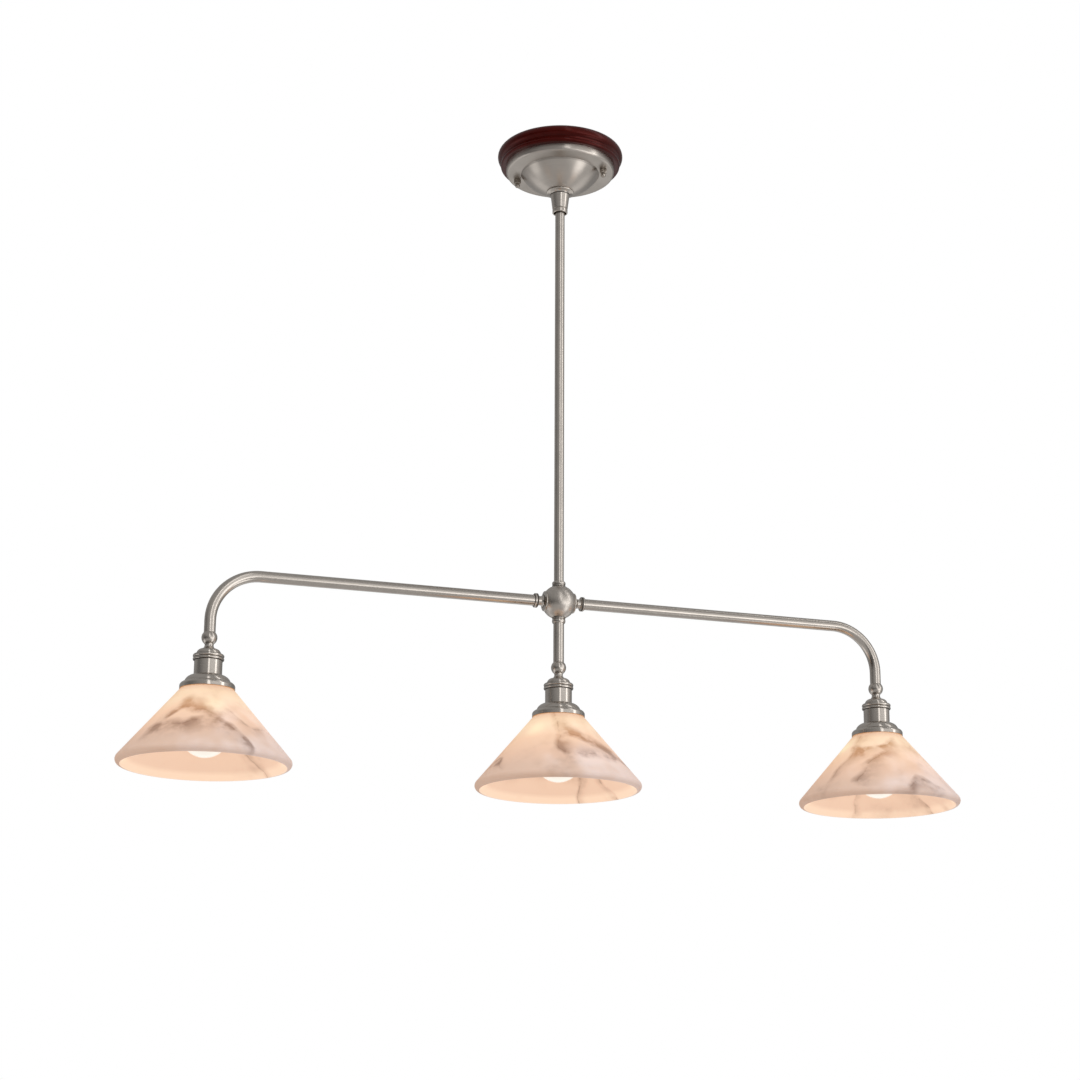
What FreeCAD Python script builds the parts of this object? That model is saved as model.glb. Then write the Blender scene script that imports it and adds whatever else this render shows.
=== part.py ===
import FreeCAD, Part

import math
import os
from collections import namedtuple

# Linear island pendant, three lights. Millimetres, +Z up.
# Origin: centre of the ceiling face. X runs along the bar, -Y faces the viewer.

# ---------------------------------------------------------------- driving dimensions
# layout
BAR_DROP = 599.0  # ceiling to the centre line of the bar
ARM_REACH = 423.0  # hub centre to the axis of a side light
SIDE_DROP = 78.0  # bar line to the centre of a side end ball
CENTRE_DROP = 82.0  # bar line to the centre of the middle end ball

# clearances
THREAD_GAP = 0.05  # radial gap of threads and plugs inside one body
SEAT_GAP = 0.05  # gap between two faces that are screwed together
TURN_GAP = 0.05  # radial running gap of the nipple in the swivel ball
SWIVEL_GAP = 0.15  # between the round faces of the swivel
LAMP_GAP = 0.35  # radial gap of a lamp cap in its screw shell
TIP_GAP = 0.1  # lamp tip to the centre contact
LEAD_ROOM = 0.6  # round a lead in its bore
EDGE = 0.6  # small chamfers

# ceiling plate
PLATE_R = 80.0
PLATE_THICK = 22.0
PLATE_BEAD_R = 7.8  # half-round bead round the outside
PLATE_BEAD_END = -62.0  # degrees, where the large bead runs into the groove
PLATE_STEP_IN = 3.6  # how far the small bead stands inside the large one
PLATE_STEP_R = 3.0  # small bead beside the pan
PLATE_STEP_START = 55.0  # degrees, where the small bead leaves the groove
CHANNEL_ROOM = 1.0  # crossbar channel, each side of the bar
CHANNEL_DEEPER = 0.6  # crossbar channel, past the bar's face

# canopy pan
PAN_INSET = 11.0  # pan wall inside the edge of the plate
PAN_WALL_H = 9.0
PAN_EDGE_R = 3.0
PAN_SHEET = 1.2
PAN_RIM_WIDTH = 19.0  # flat rim, from the wall to the crease
DOME_DEPTH = 27.0

# crossbar and its studs
CROSSBAR_PAST_STUD = 6.0
CROSSBAR_WIDTH = 16.0
CROSSBAR_THICK = 2.0
CROSSBAR_ANGLE = -33.0  # degrees from X
BOX_SCREW_WIDE = 89.0  # hole spacings of the two usual ceiling boxes
BOX_SCREW_NARROW = 70.0
BOX_HOLE_R = 2.4
STUD_PAST_CREASE = 7.0  # stud on the flat rim, from the crease
STUD_R = 2.0
STUD_SHOULDER = 0.4  # screw ends below the ceiling plane
STUD_ROOM_IN_WOOD = 0.3
STUD_ROOM_IN_PAN = 0.2
KNOB_R = 4.5
KNOB_H = 5.6
KNOB_TEETH = 24
KNOB_TOOTH_DEPTH = 0.35
KNOB_BALL_R = 3.3
KNOB_BALL_BELOW = 2.05  # ball centre under the toothed part
GROUND_SCREW_AT = 15.0  # along the crossbar
GROUND_SCREW_R = 2.0
GROUND_HEAD_R = 4.0
GROUND_HEAD_H = 2.2
GROUND_HEAD_ROUND = 0.8
CROSS_SLOT_WIDTH = 0.9
CROSS_SLOT_DEPTH = 1.1
CROSS_SLOT_LENGTH = 5.6
TERMINAL_THICK = 0.8

# down rod and swivel
ROD_R = 6.0
ROD_WALL = 1.2
NIPPLE_WALL = 1.15
THROAT_ROOM = 1.6  # cup throat, round the rod
MOUTH_ROOM = 2.25  # cup mouth, round the rod
BALL_LEDGE = 0.9  # how much wider than the throat the ball is
SEAT_RING_WALL = 0.55
SEAT_RING_LOW = -30.0  # degrees from level, lower edge
SEAT_RING_HIGH = 10.0
CUP_WALL = 0.95
CUP_TAPER = 0.124  # rise of the cup's radius per mm of height
CUP_ROOF = 1.4
CUP_BAND_H = 6.0
CUP_BAND_GROOVE = 0.5
CUP_LIP = 1.4  # wall at the mouth
SWING_ROOM = 1.6  # above the nipple, inside the cup
NUT_GAP = 0.3
NIPPLE_NUT_H = 3.0
NIPPLE_NUT_WALL = 0.75
NIPPLE_PROUD = 0.7
ROD_ENTRY = 3.7  # rod inside the cup's mouth
NIPPLE_IN_ROD = 16.0
COLLAR_R = 17.7
COLLAR_RIM_H = 1.8
COLLAR_RIM_ROUND = 0.6
COLLAR_FOOT_PROUD = 0.8  # foot of the collar past the cup
COLLAR_FLARE = 0.4  # hollow of the flare
COLLAR_BELOW_DOME = 2.0
SPIGOT_BORE_R = 4.2
SPIGOT_WALL = 2.3
SPIGOT_PROUD = 2.0
CUP_NUT_WALL = 2.0
CUP_NUT_H = 4.0
CUP_WASHER_WIDTH = 3.0
CUP_WASHER_THICK = 1.2
NUT_CHAMFER = 0.12  # share of a nut's height

# hub
HUB_R = 21.0
HUB_WALL = 3.0
ROD_COLLAR_PROUD = 2.2  # past the rod
ROD_COLLAR_H = 6.0
DROP_COLLAR_PROUD = 1.7  # past the drop tube
DROP_COLLAR_H = 7.0
COLLAR_FOOT_H = 1.4  # thin ring of a hub collar
COLLAR_GROOVE = 0.6
COLLAR_BULGE = 0.65
NIPPLE_IN_TUBE = 15.0
NIPPLE_IN_HUB = 1.5  # past the wall
BELL_RIM_R = 12.0
BELL_RIM_T = 1.8
BELL_RIM_BULGE = 0.35
BELL_SHOULDER = 0.9  # step from the rim to the hollow flare
BELL_LENGTH = 6.0  # hub face to the neck
BELL_HOLLOW = 1.1
ARM_NECK_STEP = 1.05  # neck inside the arm's skin
ARM_NECK_LENGTH = 4.0
ARM_RING_PROUD = 2.05  # past the arm's skin
ARM_RING_WIDTH = 4.6
ARM_RING_GROOVE = 0.7
BELL_SPIGOT_IN_ARM = 12.0

# tubes
ARM_R = 6.75
TUBE_WALL = 1.2
ARM_BEND_R = 57.0
DROP_TUBE_R = 6.5

# end ball and socket cover, from the ball down
END_BALL_R = 9.15
BALL_PLUG_LENGTH = 10.0
BALL_SPIGOT_WALL = 1.2
CAP_NECK_WALL = 1.15
CAP_NECK_H = 6.3  # ball to the top of the bell
CAP_NECK_HOLLOW = 1.0
CAP_NECK_FLARE = 2.6  # how far the neck widens above the bell
CAP_BELL_H = 6.5
CAP_BELL_INSET = 2.0  # bell inside the sleeve's skin
CAP_BELL_BULGE = 1.75
CAP_WALL = 1.3
CAP_ROOF = 2.0
BEAD_H = 3.6  # each of the two beads
BEAD_PROUD = 1.8  # past the sleeve's skin
BEAD_ROUND = 1.1
SLEEVE_WALL = 0.9
SLEEVE_LENGTH = 21.3  # below the joint of the two beads
GALLERY_WALL = 1.1
GALLERY_DOME_H = 8.6
GALLERY_DOME_BULGE = 2.5
GALLERY_STEP_R = 26.8
GALLERY_STEP_H = 1.2
GALLERY_LIP_R = 31.8
GALLERY_LIP_H = 6.5
GALLERY_LIP_DROP = 2.6  # height of the lip's rounding
GALLERY_LIP_BULGE = 1.0
GALLERY_LIP_IN = 1.7  # rounding inside the lip
GALLERY_LIP_IN_BULGE = 0.4

# lampholder
HOLDER_BELOW_BELL = 0.7
HOLDER_BOSS_R = 9.0
HOLDER_BOSS_H = 4.1
HOLDER_CHAMFER = 1.5
HOLDER_WALL = 1.0
HOLDER_ROOF = 3.5  # under the terminal chamber
HOLDER_BELOW_RING = 0.8
CHAMBER_DEPTH = 3.0
SHELL_WALL = 0.4
SHELL_PLAIN_H = 3.0  # above the first thread
THREAD_DEPTH = 0.35
THREAD_PITCH = 3.63
THREAD_TURNS = 5
CONTACT_R = 5.0
CONTACT_THICK = 0.8
CONTACT_ROOM = 2.0  # round the contact, in the shell's top

# shade
SHADE_R = 100.0
SHADE_FALL = 84.2  # gallery to the widest circle
SHADE_NOSE_R = 5.4
SHADE_INNER_NOSE_R = 2.5
SHADE_WALL = 10.0
SHADE_CROWN = 6.5
SHADE_CHAMFER = 1.2
SHADE_SHOULDER_IN = 0.9  # where the slope starts, inside the gallery's lip
SHADE_COLLAR_GAP = 0.4
SHADE_HOLE_GAP = 1.4
SHADE_WELL_ROOM = 1.6  # round the clamp ring
SHADE_RING_WIDTH = 5.1
SHADE_RING_H = 4.0
SHADE_RING_NOTCHES = 12
SHADE_RING_NOTCH_R = 0.9

# lamp
LAMP_R = 29.0
LAMP_LENGTH = 101.0
LAMP_CAP_LENGTH = 26.0
LAMP_CAP_R = 13.1
LAMP_THREAD_DEPTH = 0.7
LAMP_CAP_RIM = 1.2
LAMP_CAP_PLAIN_H = 3.0
LAMP_CONE_IN = 3.5
LAMP_CONE_BELOW_TIP = 3.6
LAMP_TIP_H = 1.2
LAMP_TIP_IN = 1.2  # tip dome inside the centre contact's edge
LAMP_IN_HOLDER = 2.0  # cap inside the holder's mouth
LAMP_NECK_PROUD = 0.3  # glass past the cap
LAMP_NECK_H = 5.0
LAMP_NECK_FLARE = 0.5
LAMP_NECK_HOLLOW = 1.05
LAMP_BALL_START = 25.0  # degrees above the widest circle
LAMP_GLASS = 1.0

# leads
LAMP_LEAD_R = 2.4
CORE_R = 1.1  # single core in the canopy
CORE_ROOM = 0.8  # core to the wall of the spigot
SPLICE_HALF = (7.0, 6.0, 5.0)
SPLICE_ROUND = 1.0
CONNECTOR_AT_Z = -26.0
CONNECTOR_FROM_R = 21.0
CONNECTOR_LENGTH = 18.0
CONNECTOR_MOUTH_R = 5.2
CONNECTOR_MOUTH_H = 3.0
CONNECTOR_TIP_R = 3.4
CONNECTOR_TIP_ROUND = 1.0
CORE_SPACING = 3.0  # between two cores in one connector
CORE_BEND_R = 10.0
GROUND_BEND_R = 6.0
GROUND_RISE_GAP = 1.5  # ground core clear of its screw's head
TONGUE_OVERLAP = 1.0

# ---------------------------------------------------------------- derived sizes
V = FreeCAD.Vector
UP = V(0, 0, 1)
ACROSS = V(0, 1, 0)
ORIGIN = V(0, 0, 0)
SIDES = (-1, 1)

# canopy
HUB_Z = -BAR_DROP
PAN_R = PLATE_R - PAN_INSET
DOME_BASE_R = PAN_R - PAN_RIM_WIDTH
PLATE_OPENING_R = DOME_BASE_R
STUD_CIRCLE_R = DOME_BASE_R + STUD_PAST_CREASE
CROSSBAR_LENGTH = 2 * (STUD_CIRCLE_R + CROSSBAR_PAST_STUD)
PAN_TOP_Z = -PLATE_THICK - SEAT_GAP
PAN_RIM_Z = PAN_TOP_Z - PAN_WALL_H
DOME_BOTTOM_Z = PAN_RIM_Z - DOME_DEPTH
DOME_SPHERE_R = (DOME_BASE_R**2 + DOME_DEPTH**2) / (2 * DOME_DEPTH)
DOME_CENTRE_Z = DOME_BOTTOM_Z + DOME_SPHERE_R
SPIGOT_R = SPIGOT_BORE_R + SPIGOT_WALL
SPIGOT_HOLE_R = SPIGOT_R + THREAD_GAP
CUP_WASHER_R = SPIGOT_R + CUP_WASHER_WIDTH
WASHER_Z = DOME_CENTRE_Z - math.sqrt((DOME_SPHERE_R - PAN_SHEET) ** 2 - CUP_WASHER_R**2) + SEAT_GAP
CUP_NUT_Z = WASHER_Z + CUP_WASHER_THICK + SEAT_GAP
SPIGOT_TOP_Z = CUP_NUT_Z + CUP_NUT_H + SPIGOT_PROUD

# swivel
CUP_TOP_Z = DOME_BOTTOM_Z - COLLAR_BELOW_DOME
CAVITY_TOP_Z = CUP_TOP_Z - CUP_ROOF
ROD_BORE_R = ROD_R - ROD_WALL
NIPPLE_R = ROD_BORE_R - THREAD_GAP
NIPPLE_BORE_R = NIPPLE_R - NIPPLE_WALL
STEM_LEAD_R = NIPPLE_BORE_R - LEAD_ROOM
BALL_HOLE_R = NIPPLE_R + TURN_GAP
THROAT_R = ROD_R + THROAT_ROOM
MOUTH_R = ROD_R + MOUTH_ROOM
BALL_R = THROAT_R + BALL_LEDGE
SEAT_RING_IN_R = BALL_R + SWIVEL_GAP
SEAT_RING_OUT_R = SEAT_RING_IN_R + SEAT_RING_WALL
SEAT_R = SEAT_RING_OUT_R + SWIVEL_GAP
BALL_SHOULDER = math.sqrt(BALL_R**2 - BALL_HOLE_R**2)  # ball centre to the edge of its hole
NIPPLE_TOP_Z = CAVITY_TOP_Z - SWING_ROOM
NIPPLE_NUT_TOP_Z = NIPPLE_TOP_Z - NIPPLE_PROUD
BALL_Z = NIPPLE_NUT_TOP_Z - NIPPLE_NUT_H - NUT_GAP - BALL_SHOULDER
ROD_TOP_Z = BALL_Z - BALL_SHOULDER - NUT_GAP
MOUTH_Z = ROD_TOP_Z - ROD_ENTRY
CORE_CIRCLE_R = SPIGOT_BORE_R - CORE_R - CORE_ROOM
CORE_TURNS = [CROSSBAR_ANGLE + turn for turn in (0, 120, 240)]

# hub and arms
HUB_HOLE_R = NIPPLE_R + THREAD_GAP
HUB_SHOULDER = math.sqrt(HUB_R**2 - HUB_HOLE_R**2)  # hub centre to the edge of a hole
HUB_FIT_R = HUB_R + SEAT_GAP  # round faces that sit on the hub
HUB_PLUG_START = HUB_R - HUB_WALL - NIPPLE_IN_HUB
LEAD_BORE_R = LAMP_LEAD_R + LEAD_ROOM
BELL_RIM_X = math.sqrt(HUB_FIT_R**2 - BELL_RIM_R**2)
NECK_X = BELL_RIM_X + BELL_LENGTH
ARM_RING_X = NECK_X + ARM_NECK_LENGTH
ARM_X = ARM_RING_X + ARM_RING_WIDTH + SEAT_GAP
ARM_NECK_R = ARM_R - ARM_NECK_STEP
ARM_RING_R = ARM_R + ARM_RING_PROUD
ARM_BORE_R = ARM_R - TUBE_WALL
ARM_PLUG_R = ARM_BORE_R - THREAD_GAP
DROP_BORE_R = DROP_TUBE_R - TUBE_WALL
DROP_PLUG_R = DROP_BORE_R - THREAD_GAP

# lampholder and socket cover, radii from the lamp's cap outwards
SHELL_BORE_R = LAMP_CAP_R + LAMP_GAP
SHELL_R = SHELL_BORE_R + SHELL_WALL + THREAD_DEPTH  # over the crests of its thread
HOLDER_BORE_R = SHELL_R + THREAD_GAP
HOLDER_R = HOLDER_BORE_R + HOLDER_WALL
HOLDER_FIT_R = HOLDER_R + THREAD_GAP
SLEEVE_BORE_R = HOLDER_FIT_R
SLEEVE_R = SLEEVE_BORE_R + SLEEVE_WALL
BEAD_R = SLEEVE_R + BEAD_PROUD
CAP_BELL_R = SLEEVE_R - CAP_BELL_INSET
BALL_SPIGOT_R = LEAD_BORE_R + BALL_SPIGOT_WALL
SPIGOT_FIT_R = BALL_SPIGOT_R + THREAD_GAP
CAP_NECK_R = SPIGOT_FIT_R + CAP_NECK_WALL
SHADE_RING_R = HOLDER_FIT_R + SHADE_RING_WIDTH
SHADE_WELL_R = SHADE_RING_R + SHADE_WELL_ROOM
SHADE_HOLE_R = HOLDER_R + SHADE_HOLE_GAP

# levels of a light, measured down from the centre of its end ball
BALL_NECK_DOWN = math.sqrt(END_BALL_R**2 - CAP_NECK_R**2)
CAP_BELL_TOP = BALL_NECK_DOWN + CAP_NECK_H
CAP_BELL_BOTTOM = CAP_BELL_TOP + CAP_BELL_H
BEAD_JOINT = CAP_BELL_BOTTOM + BEAD_H
SLEEVE_BOTTOM = BEAD_JOINT + SLEEVE_LENGTH
GALLERY_TOP = SLEEVE_BOTTOM + SEAT_GAP
GALLERY_STEP_AT = SLEEVE_BOTTOM + GALLERY_DOME_H
GALLERY_LEDGE = GALLERY_STEP_AT + GALLERY_STEP_H
GALLERY_BOTTOM = GALLERY_LEDGE + GALLERY_LIP_H
SHADE_TOP = GALLERY_LEDGE + GALLERY_WALL + SEAT_GAP
SHADE_CROWN_BOTTOM = SHADE_TOP + SHADE_CROWN
SHADE_SLOPE_TOP = GALLERY_BOTTOM + SHADE_COLLAR_GAP
SHADE_RIM_AT = GALLERY_BOTTOM + SHADE_FALL
SHADE_BOTTOM = SHADE_RIM_AT + SHADE_NOSE_R
SHADE_RING_TOP = SHADE_CROWN_BOTTOM + SEAT_GAP
SHADE_RING_BOTTOM = SHADE_RING_TOP + SHADE_RING_H
HOLDER_TOP = CAP_BELL_BOTTOM + HOLDER_BELOW_BELL
HOLDER_SHOULDER = HOLDER_TOP + HOLDER_BOSS_H
HOLDER_BOTTOM = SHADE_RING_BOTTOM + HOLDER_BELOW_RING
LAMP_SHOULDER = HOLDER_BOTTOM - LAMP_IN_HOLDER  # where the glass leaves the cap
LAMP_TIP = LAMP_SHOULDER - LAMP_CAP_LENGTH
LAMP_BOTTOM = LAMP_TIP + LAMP_LENGTH
CONTACT_BOTTOM = LAMP_TIP - TIP_GAP
HOLDER_CEILING = CONTACT_BOTTOM - CONTACT_THICK - SEAT_GAP
CHAMBER_BOTTOM = HOLDER_CEILING - HOLDER_ROOF
CHAMBER_TOP = CHAMBER_BOTTOM - CHAMBER_DEPTH
SPIGOT_BOTTOM = CHAMBER_TOP - SEAT_GAP

LIGHTS = {
    "left": V(-ARM_REACH, 0, HUB_Z - SIDE_DROP),
    "centre": V(0, 0, HUB_Z - CENTRE_DROP),
    "right": V(ARM_REACH, 0, HUB_Z - SIDE_DROP),
}

# One round stretch of an outline: it runs to a point and stands off its chord by
# sag, on the right of the way where sag is positive.
Bow = namedtuple("Bow", "to sag")


# ---------------------------------------------------------------- shape helpers
def arc(centre_r, centre_z, radius, start_deg, end_deg):
    """Corner and bow of part of a circle in an outline, 0 degrees outwards, 90 up."""

    def at(degrees):
        turn = math.radians(degrees)
        return (centre_r + radius * math.cos(turn), centre_z + radius * math.sin(turn))

    half_turn = math.radians(end_deg - start_deg) / 2
    sag = math.copysign(radius * (1 - math.cos(half_turn)), half_turn)
    return [at(start_deg), Bow(at(end_deg), sag)]


def sphere_arc(centre_z, sphere_r, from_r, to_r, half):
    """Part of a sphere's outline between two radii, on its upper (1) or lower (-1) half."""
    start, end = (half * math.degrees(math.acos(r / sphere_r)) for r in (from_r, to_r))
    return arc(0, centre_z, sphere_r, start, end)


def outline_face(path):
    """Face in the XZ plane from (r, z) corners and bows, closed back to its first corner."""
    edges = []
    here = path[0]
    for step in path[1:] + [path[0]]:
        to, sag = step if isinstance(step, Bow) else (step, 0)
        start, end = V(here[0], 0, here[1]), V(to[0], 0, to[1])
        along = end - start
        if sag:
            right = V(along.z, 0, -along.x).normalize()
            edges.append(Part.Arc(start, start + along * 0.5 + right * sag, end).toShape())
        elif along.Length > 1e-6:
            edges.append(Part.LineSegment(start, end).toShape())
        here = to
    return Part.Face(Part.Wire(edges))


def turned(path):
    """Solid turned about Z from an outline."""
    return outline_face(path).revolve(ORIGIN, UP, 360)


def ring(outer_r, inner_r, low, high):
    """Plain ring or tube about Z."""
    return turned([(inner_r, low), (outer_r, low), (outer_r, high), (inner_r, high)])


def rod_along(radius, start, end):
    """Solid cylinder between two points."""
    along = end - start
    return Part.makeCylinder(radius, along.Length, start, along)


def prism(corners, height):
    """Upright prism on a closed run of corners."""
    return Part.Face(Part.makePolygon(corners + corners[:1])).extrude(V(0, 0, height))


def polar(radius, degrees, z=0):
    """Point at a radius, a turn from X and a level."""
    turn = math.radians(degrees)
    return V(radius * math.cos(turn), radius * math.sin(turn), z)


def hexagon(flats, low, high, bore_r):
    """Hexagonal nut about Z with a plain bore."""
    corner_r = flats / math.sqrt(3)
    block = prism([polar(corner_r, 60 * k, low) for k in range(6)], high - low)
    chamfer = NUT_CHAMFER * (high - low)
    rounding = turned(
        [
            (0, low),
            (flats / 2, low),
            (corner_r, low + chamfer),
            (corner_r, high - chamfer),
            (flats / 2, high),
            (0, high),
        ]
    )
    return block.common(rounding).cut(rod_along(bore_r, V(0, 0, low), V(0, 0, high)))


def swept(radius, edges):
    """Round bar along joined lines and arcs."""
    start = edges[0].valueAt(edges[0].FirstParameter)
    tangent = edges[0].tangentAt(edges[0].FirstParameter)
    section = Part.Wire([Part.makeCircle(radius, start, tangent)])
    return Part.Wire(edges).makePipeShell([section], True, False)


def bent_route(start, corner, end, bend_r):
    """Line, tangent quarter arc and line from start round a square corner to end."""
    before = (start - corner).normalize()
    after = (end - corner).normalize()
    centre = corner + (before + after) * bend_r
    first, last = corner + before * bend_r, corner + after * bend_r
    middle = centre - (before + after).normalize() * bend_r
    return [
        Part.LineSegment(start, first).toShape(),
        Part.Arc(first, middle, last).toShape(),
        Part.LineSegment(last, end).toShape(),
    ]


def along_crossbar(shape):
    """Turns a piece made along X into the crossbar's direction."""
    return shape.rotate(ORIGIN, UP, CROSSBAR_ANGLE)


def at_studs(shape):
    """Two copies of a piece made on the Z axis, one at each stud."""
    spots = [V(side * STUD_CIRCLE_R, 0, 0) for side in SIDES]
    return [along_crossbar(shape.copy().translate(spot)) for spot in spots]


def along_arm(shape, side):
    """Lays a piece made up Z from the hub's centre along one arm."""
    return shape.rotate(ORIGIN, ACROSS, 90 * side).translate(V(0, 0, HUB_Z))


# ---------------------------------------------------------------- ceiling end
def ceiling_plate():
    """Turned wood ring: outer bead, groove, small bead, channel for the crossbar."""
    bead_r = PLATE_R - PLATE_BEAD_R
    step_r = PLATE_R - PLATE_STEP_IN - PLATE_STEP_R
    step_z = -PLATE_THICK + PLATE_STEP_R
    wood = turned(
        [(PLATE_OPENING_R, 0)]
        + arc(bead_r, -PLATE_BEAD_R, PLATE_BEAD_R, 90, PLATE_BEAD_END)
        + arc(step_r, step_z, PLATE_STEP_R, PLATE_STEP_START, -90)
        + [(PLATE_OPENING_R, -PLATE_THICK)]
    )
    half_length = CROSSBAR_LENGTH / 2 + CHANNEL_ROOM
    half_width = CROSSBAR_WIDTH / 2 + CHANNEL_ROOM
    depth = CROSSBAR_THICK + CHANNEL_DEEPER
    corner = V(-half_length, -half_width, -depth)
    channel = Part.makeBox(2 * half_length, 2 * half_width, depth, corner)
    wood = wood.cut(along_crossbar(channel))
    for hole in at_studs(rod_along(STUD_R + STUD_ROOM_IN_WOOD, ORIGIN, V(0, 0, -PLATE_THICK))):
        wood = wood.cut(hole)
    return wood


def canopy_pan():
    """Spun sheet: wall, rounded edge, flat rim, crease and dome, with three holes."""
    edge_r = PAN_R - PAN_EDGE_R
    edge_z = PAN_RIM_Z + PAN_EDGE_R
    rim_top_z = PAN_RIM_Z + PAN_SHEET
    inner_sphere_r = DOME_SPHERE_R - PAN_SHEET
    inner_base_r = math.sqrt(inner_sphere_r**2 - (DOME_CENTRE_Z - rim_top_z) ** 2)
    pan = turned(
        [(PAN_R, PAN_TOP_Z)]
        + arc(edge_r, edge_z, PAN_EDGE_R, 0, -90)
        + sphere_arc(DOME_CENTRE_Z, DOME_SPHERE_R, DOME_BASE_R, SPIGOT_HOLE_R, -1)
        + sphere_arc(DOME_CENTRE_Z, inner_sphere_r, SPIGOT_HOLE_R, inner_base_r, -1)
        + arc(edge_r, edge_z, PAN_EDGE_R - PAN_SHEET, -90, 0)
        + [(PAN_R - PAN_SHEET, PAN_TOP_Z)]
    )
    high, low = V(0, 0, rim_top_z), V(0, 0, PAN_RIM_Z)
    for hole in at_studs(rod_along(STUD_R + STUD_ROOM_IN_PAN, high, low)):
        pan = pan.cut(hole)
    return pan


def crossbar():
    """Flat bar for the ceiling box, round ends, holes for box screws, studs and ground."""
    half_width = CROSSBAR_WIDTH / 2
    straight = CROSSBAR_LENGTH - CROSSBAR_WIDTH
    corner = V(-straight / 2, -half_width, -CROSSBAR_THICK)
    bar = Part.makeBox(straight, CROSSBAR_WIDTH, CROSSBAR_THICK, corner)
    holes = [(GROUND_SCREW_AT, GROUND_SCREW_R + THREAD_GAP)]
    for side in SIDES:
        end = V(side * straight / 2, 0, -CROSSBAR_THICK)
        bar = bar.fuse(Part.makeCylinder(half_width, CROSSBAR_THICK, end, UP))
        holes += [
            (side * STUD_CIRCLE_R, STUD_R + THREAD_GAP),
            (side * BOX_SCREW_WIDE / 2, BOX_HOLE_R),
            (side * BOX_SCREW_NARROW / 2, BOX_HOLE_R),
        ]
    bar = bar.removeSplitter()
    for x, radius in holes:
        bar = bar.cut(rod_along(radius, V(x, 0, 0), V(x, 0, -CROSSBAR_THICK)))
    return along_crossbar(bar)


def canopy_studs():
    """Two threaded studs from the crossbar through plate and pan into the knobs."""
    stud = rod_along(STUD_R, V(0, 0, -STUD_SHOULDER), V(0, 0, PAN_RIM_Z - KNOB_H))
    return Part.makeCompound(at_studs(stud))


def canopy_knobs():
    """Two knurled nuts with ball ends that hold the pan up."""
    top = PAN_RIM_Z - SEAT_GAP
    bottom = top - KNOB_H
    points = [
        polar(KNOB_R - KNOB_TOOTH_DEPTH * (k % 2), 180 * k / KNOB_TEETH, bottom)
        for k in range(2 * KNOB_TEETH)
    ]
    envelope = turned(
        [
            (0, bottom),
            (KNOB_R - EDGE, bottom),
            (KNOB_R, bottom + EDGE),
            (KNOB_R, top - EDGE),
            (KNOB_R - EDGE, top),
            (0, top),
        ]
    )
    ball = Part.makeSphere(KNOB_BALL_R, V(0, 0, bottom - KNOB_BALL_BELOW))
    knob = prism(points, KNOB_H).common(envelope).fuse(ball)
    bore_end = PAN_RIM_Z - KNOB_H - SEAT_GAP
    knob = knob.cut(rod_along(STUD_R + THREAD_GAP, V(0, 0, top), V(0, 0, bore_end)))
    return Part.makeCompound(at_studs(knob))


def ground_screw():
    """Pan-head screw up into the crossbar, with a cross slot."""
    head_top = -CROSSBAR_THICK - 2 * SEAT_GAP - TERMINAL_THICK
    head_bottom = head_top - GROUND_HEAD_H
    round_r = GROUND_HEAD_ROUND
    screw = turned(
        [
            (0, -STUD_SHOULDER),
            (GROUND_SCREW_R, -STUD_SHOULDER),
            (GROUND_SCREW_R, head_top),
            (GROUND_HEAD_R, head_top),
        ]
        + arc(GROUND_HEAD_R - round_r, head_bottom + round_r, round_r, 0, -90)
        + [(0, head_bottom)]
    )
    for length, width in (
        (CROSS_SLOT_LENGTH, CROSS_SLOT_WIDTH),
        (CROSS_SLOT_WIDTH, CROSS_SLOT_LENGTH),
    ):
        corner = V(-length / 2, -width / 2, head_bottom)
        screw = screw.cut(Part.makeBox(length, width, CROSS_SLOT_DEPTH, corner))
    return along_crossbar(screw.translate(V(GROUND_SCREW_AT, 0, 0)))


def cup_skin_r(z):
    """Outer radius of the tapered cup at a level."""
    return SEAT_R + CUP_WALL + (z - BALL_Z) * CUP_TAPER


def swivel_cup():
    """Tapered cup with a seat for the swivel, a banded mouth and a threaded spigot."""
    band_top = MOUTH_Z + CUP_BAND_H
    band_r = MOUTH_R + CUP_LIP
    groove = CUP_BAND_GROOVE
    top_bore = cup_skin_r(CAVITY_TOP_Z) - CUP_WALL - EDGE
    throat_bottom = BALL_Z - math.sqrt(SEAT_R**2 - THROAT_R**2) - EDGE
    outside = [
        (SPIGOT_BORE_R, SPIGOT_TOP_Z),
        (SPIGOT_R, SPIGOT_TOP_Z),
        (SPIGOT_R, CUP_TOP_Z),
        (cup_skin_r(CUP_TOP_Z) - EDGE, CUP_TOP_Z),
        (cup_skin_r(CUP_TOP_Z), CUP_TOP_Z - EDGE),
        (cup_skin_r(band_top), band_top),
        (cup_skin_r(band_top) - groove, band_top - groove),
        (band_r, band_top - 3 * groove),
        (band_r, MOUTH_Z + EDGE),
        (band_r - EDGE, MOUTH_Z),
        (MOUTH_R, MOUTH_Z),
    ]
    inside = [
        (THROAT_R, throat_bottom),
        *sphere_arc(BALL_Z, SEAT_R, THROAT_R, SEAT_R, -1),
        (top_bore, CAVITY_TOP_Z - EDGE),
        (top_bore - EDGE, CAVITY_TOP_Z),
        (SPIGOT_BORE_R, CAVITY_TOP_Z),
    ]
    return turned(outside + inside)


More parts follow.
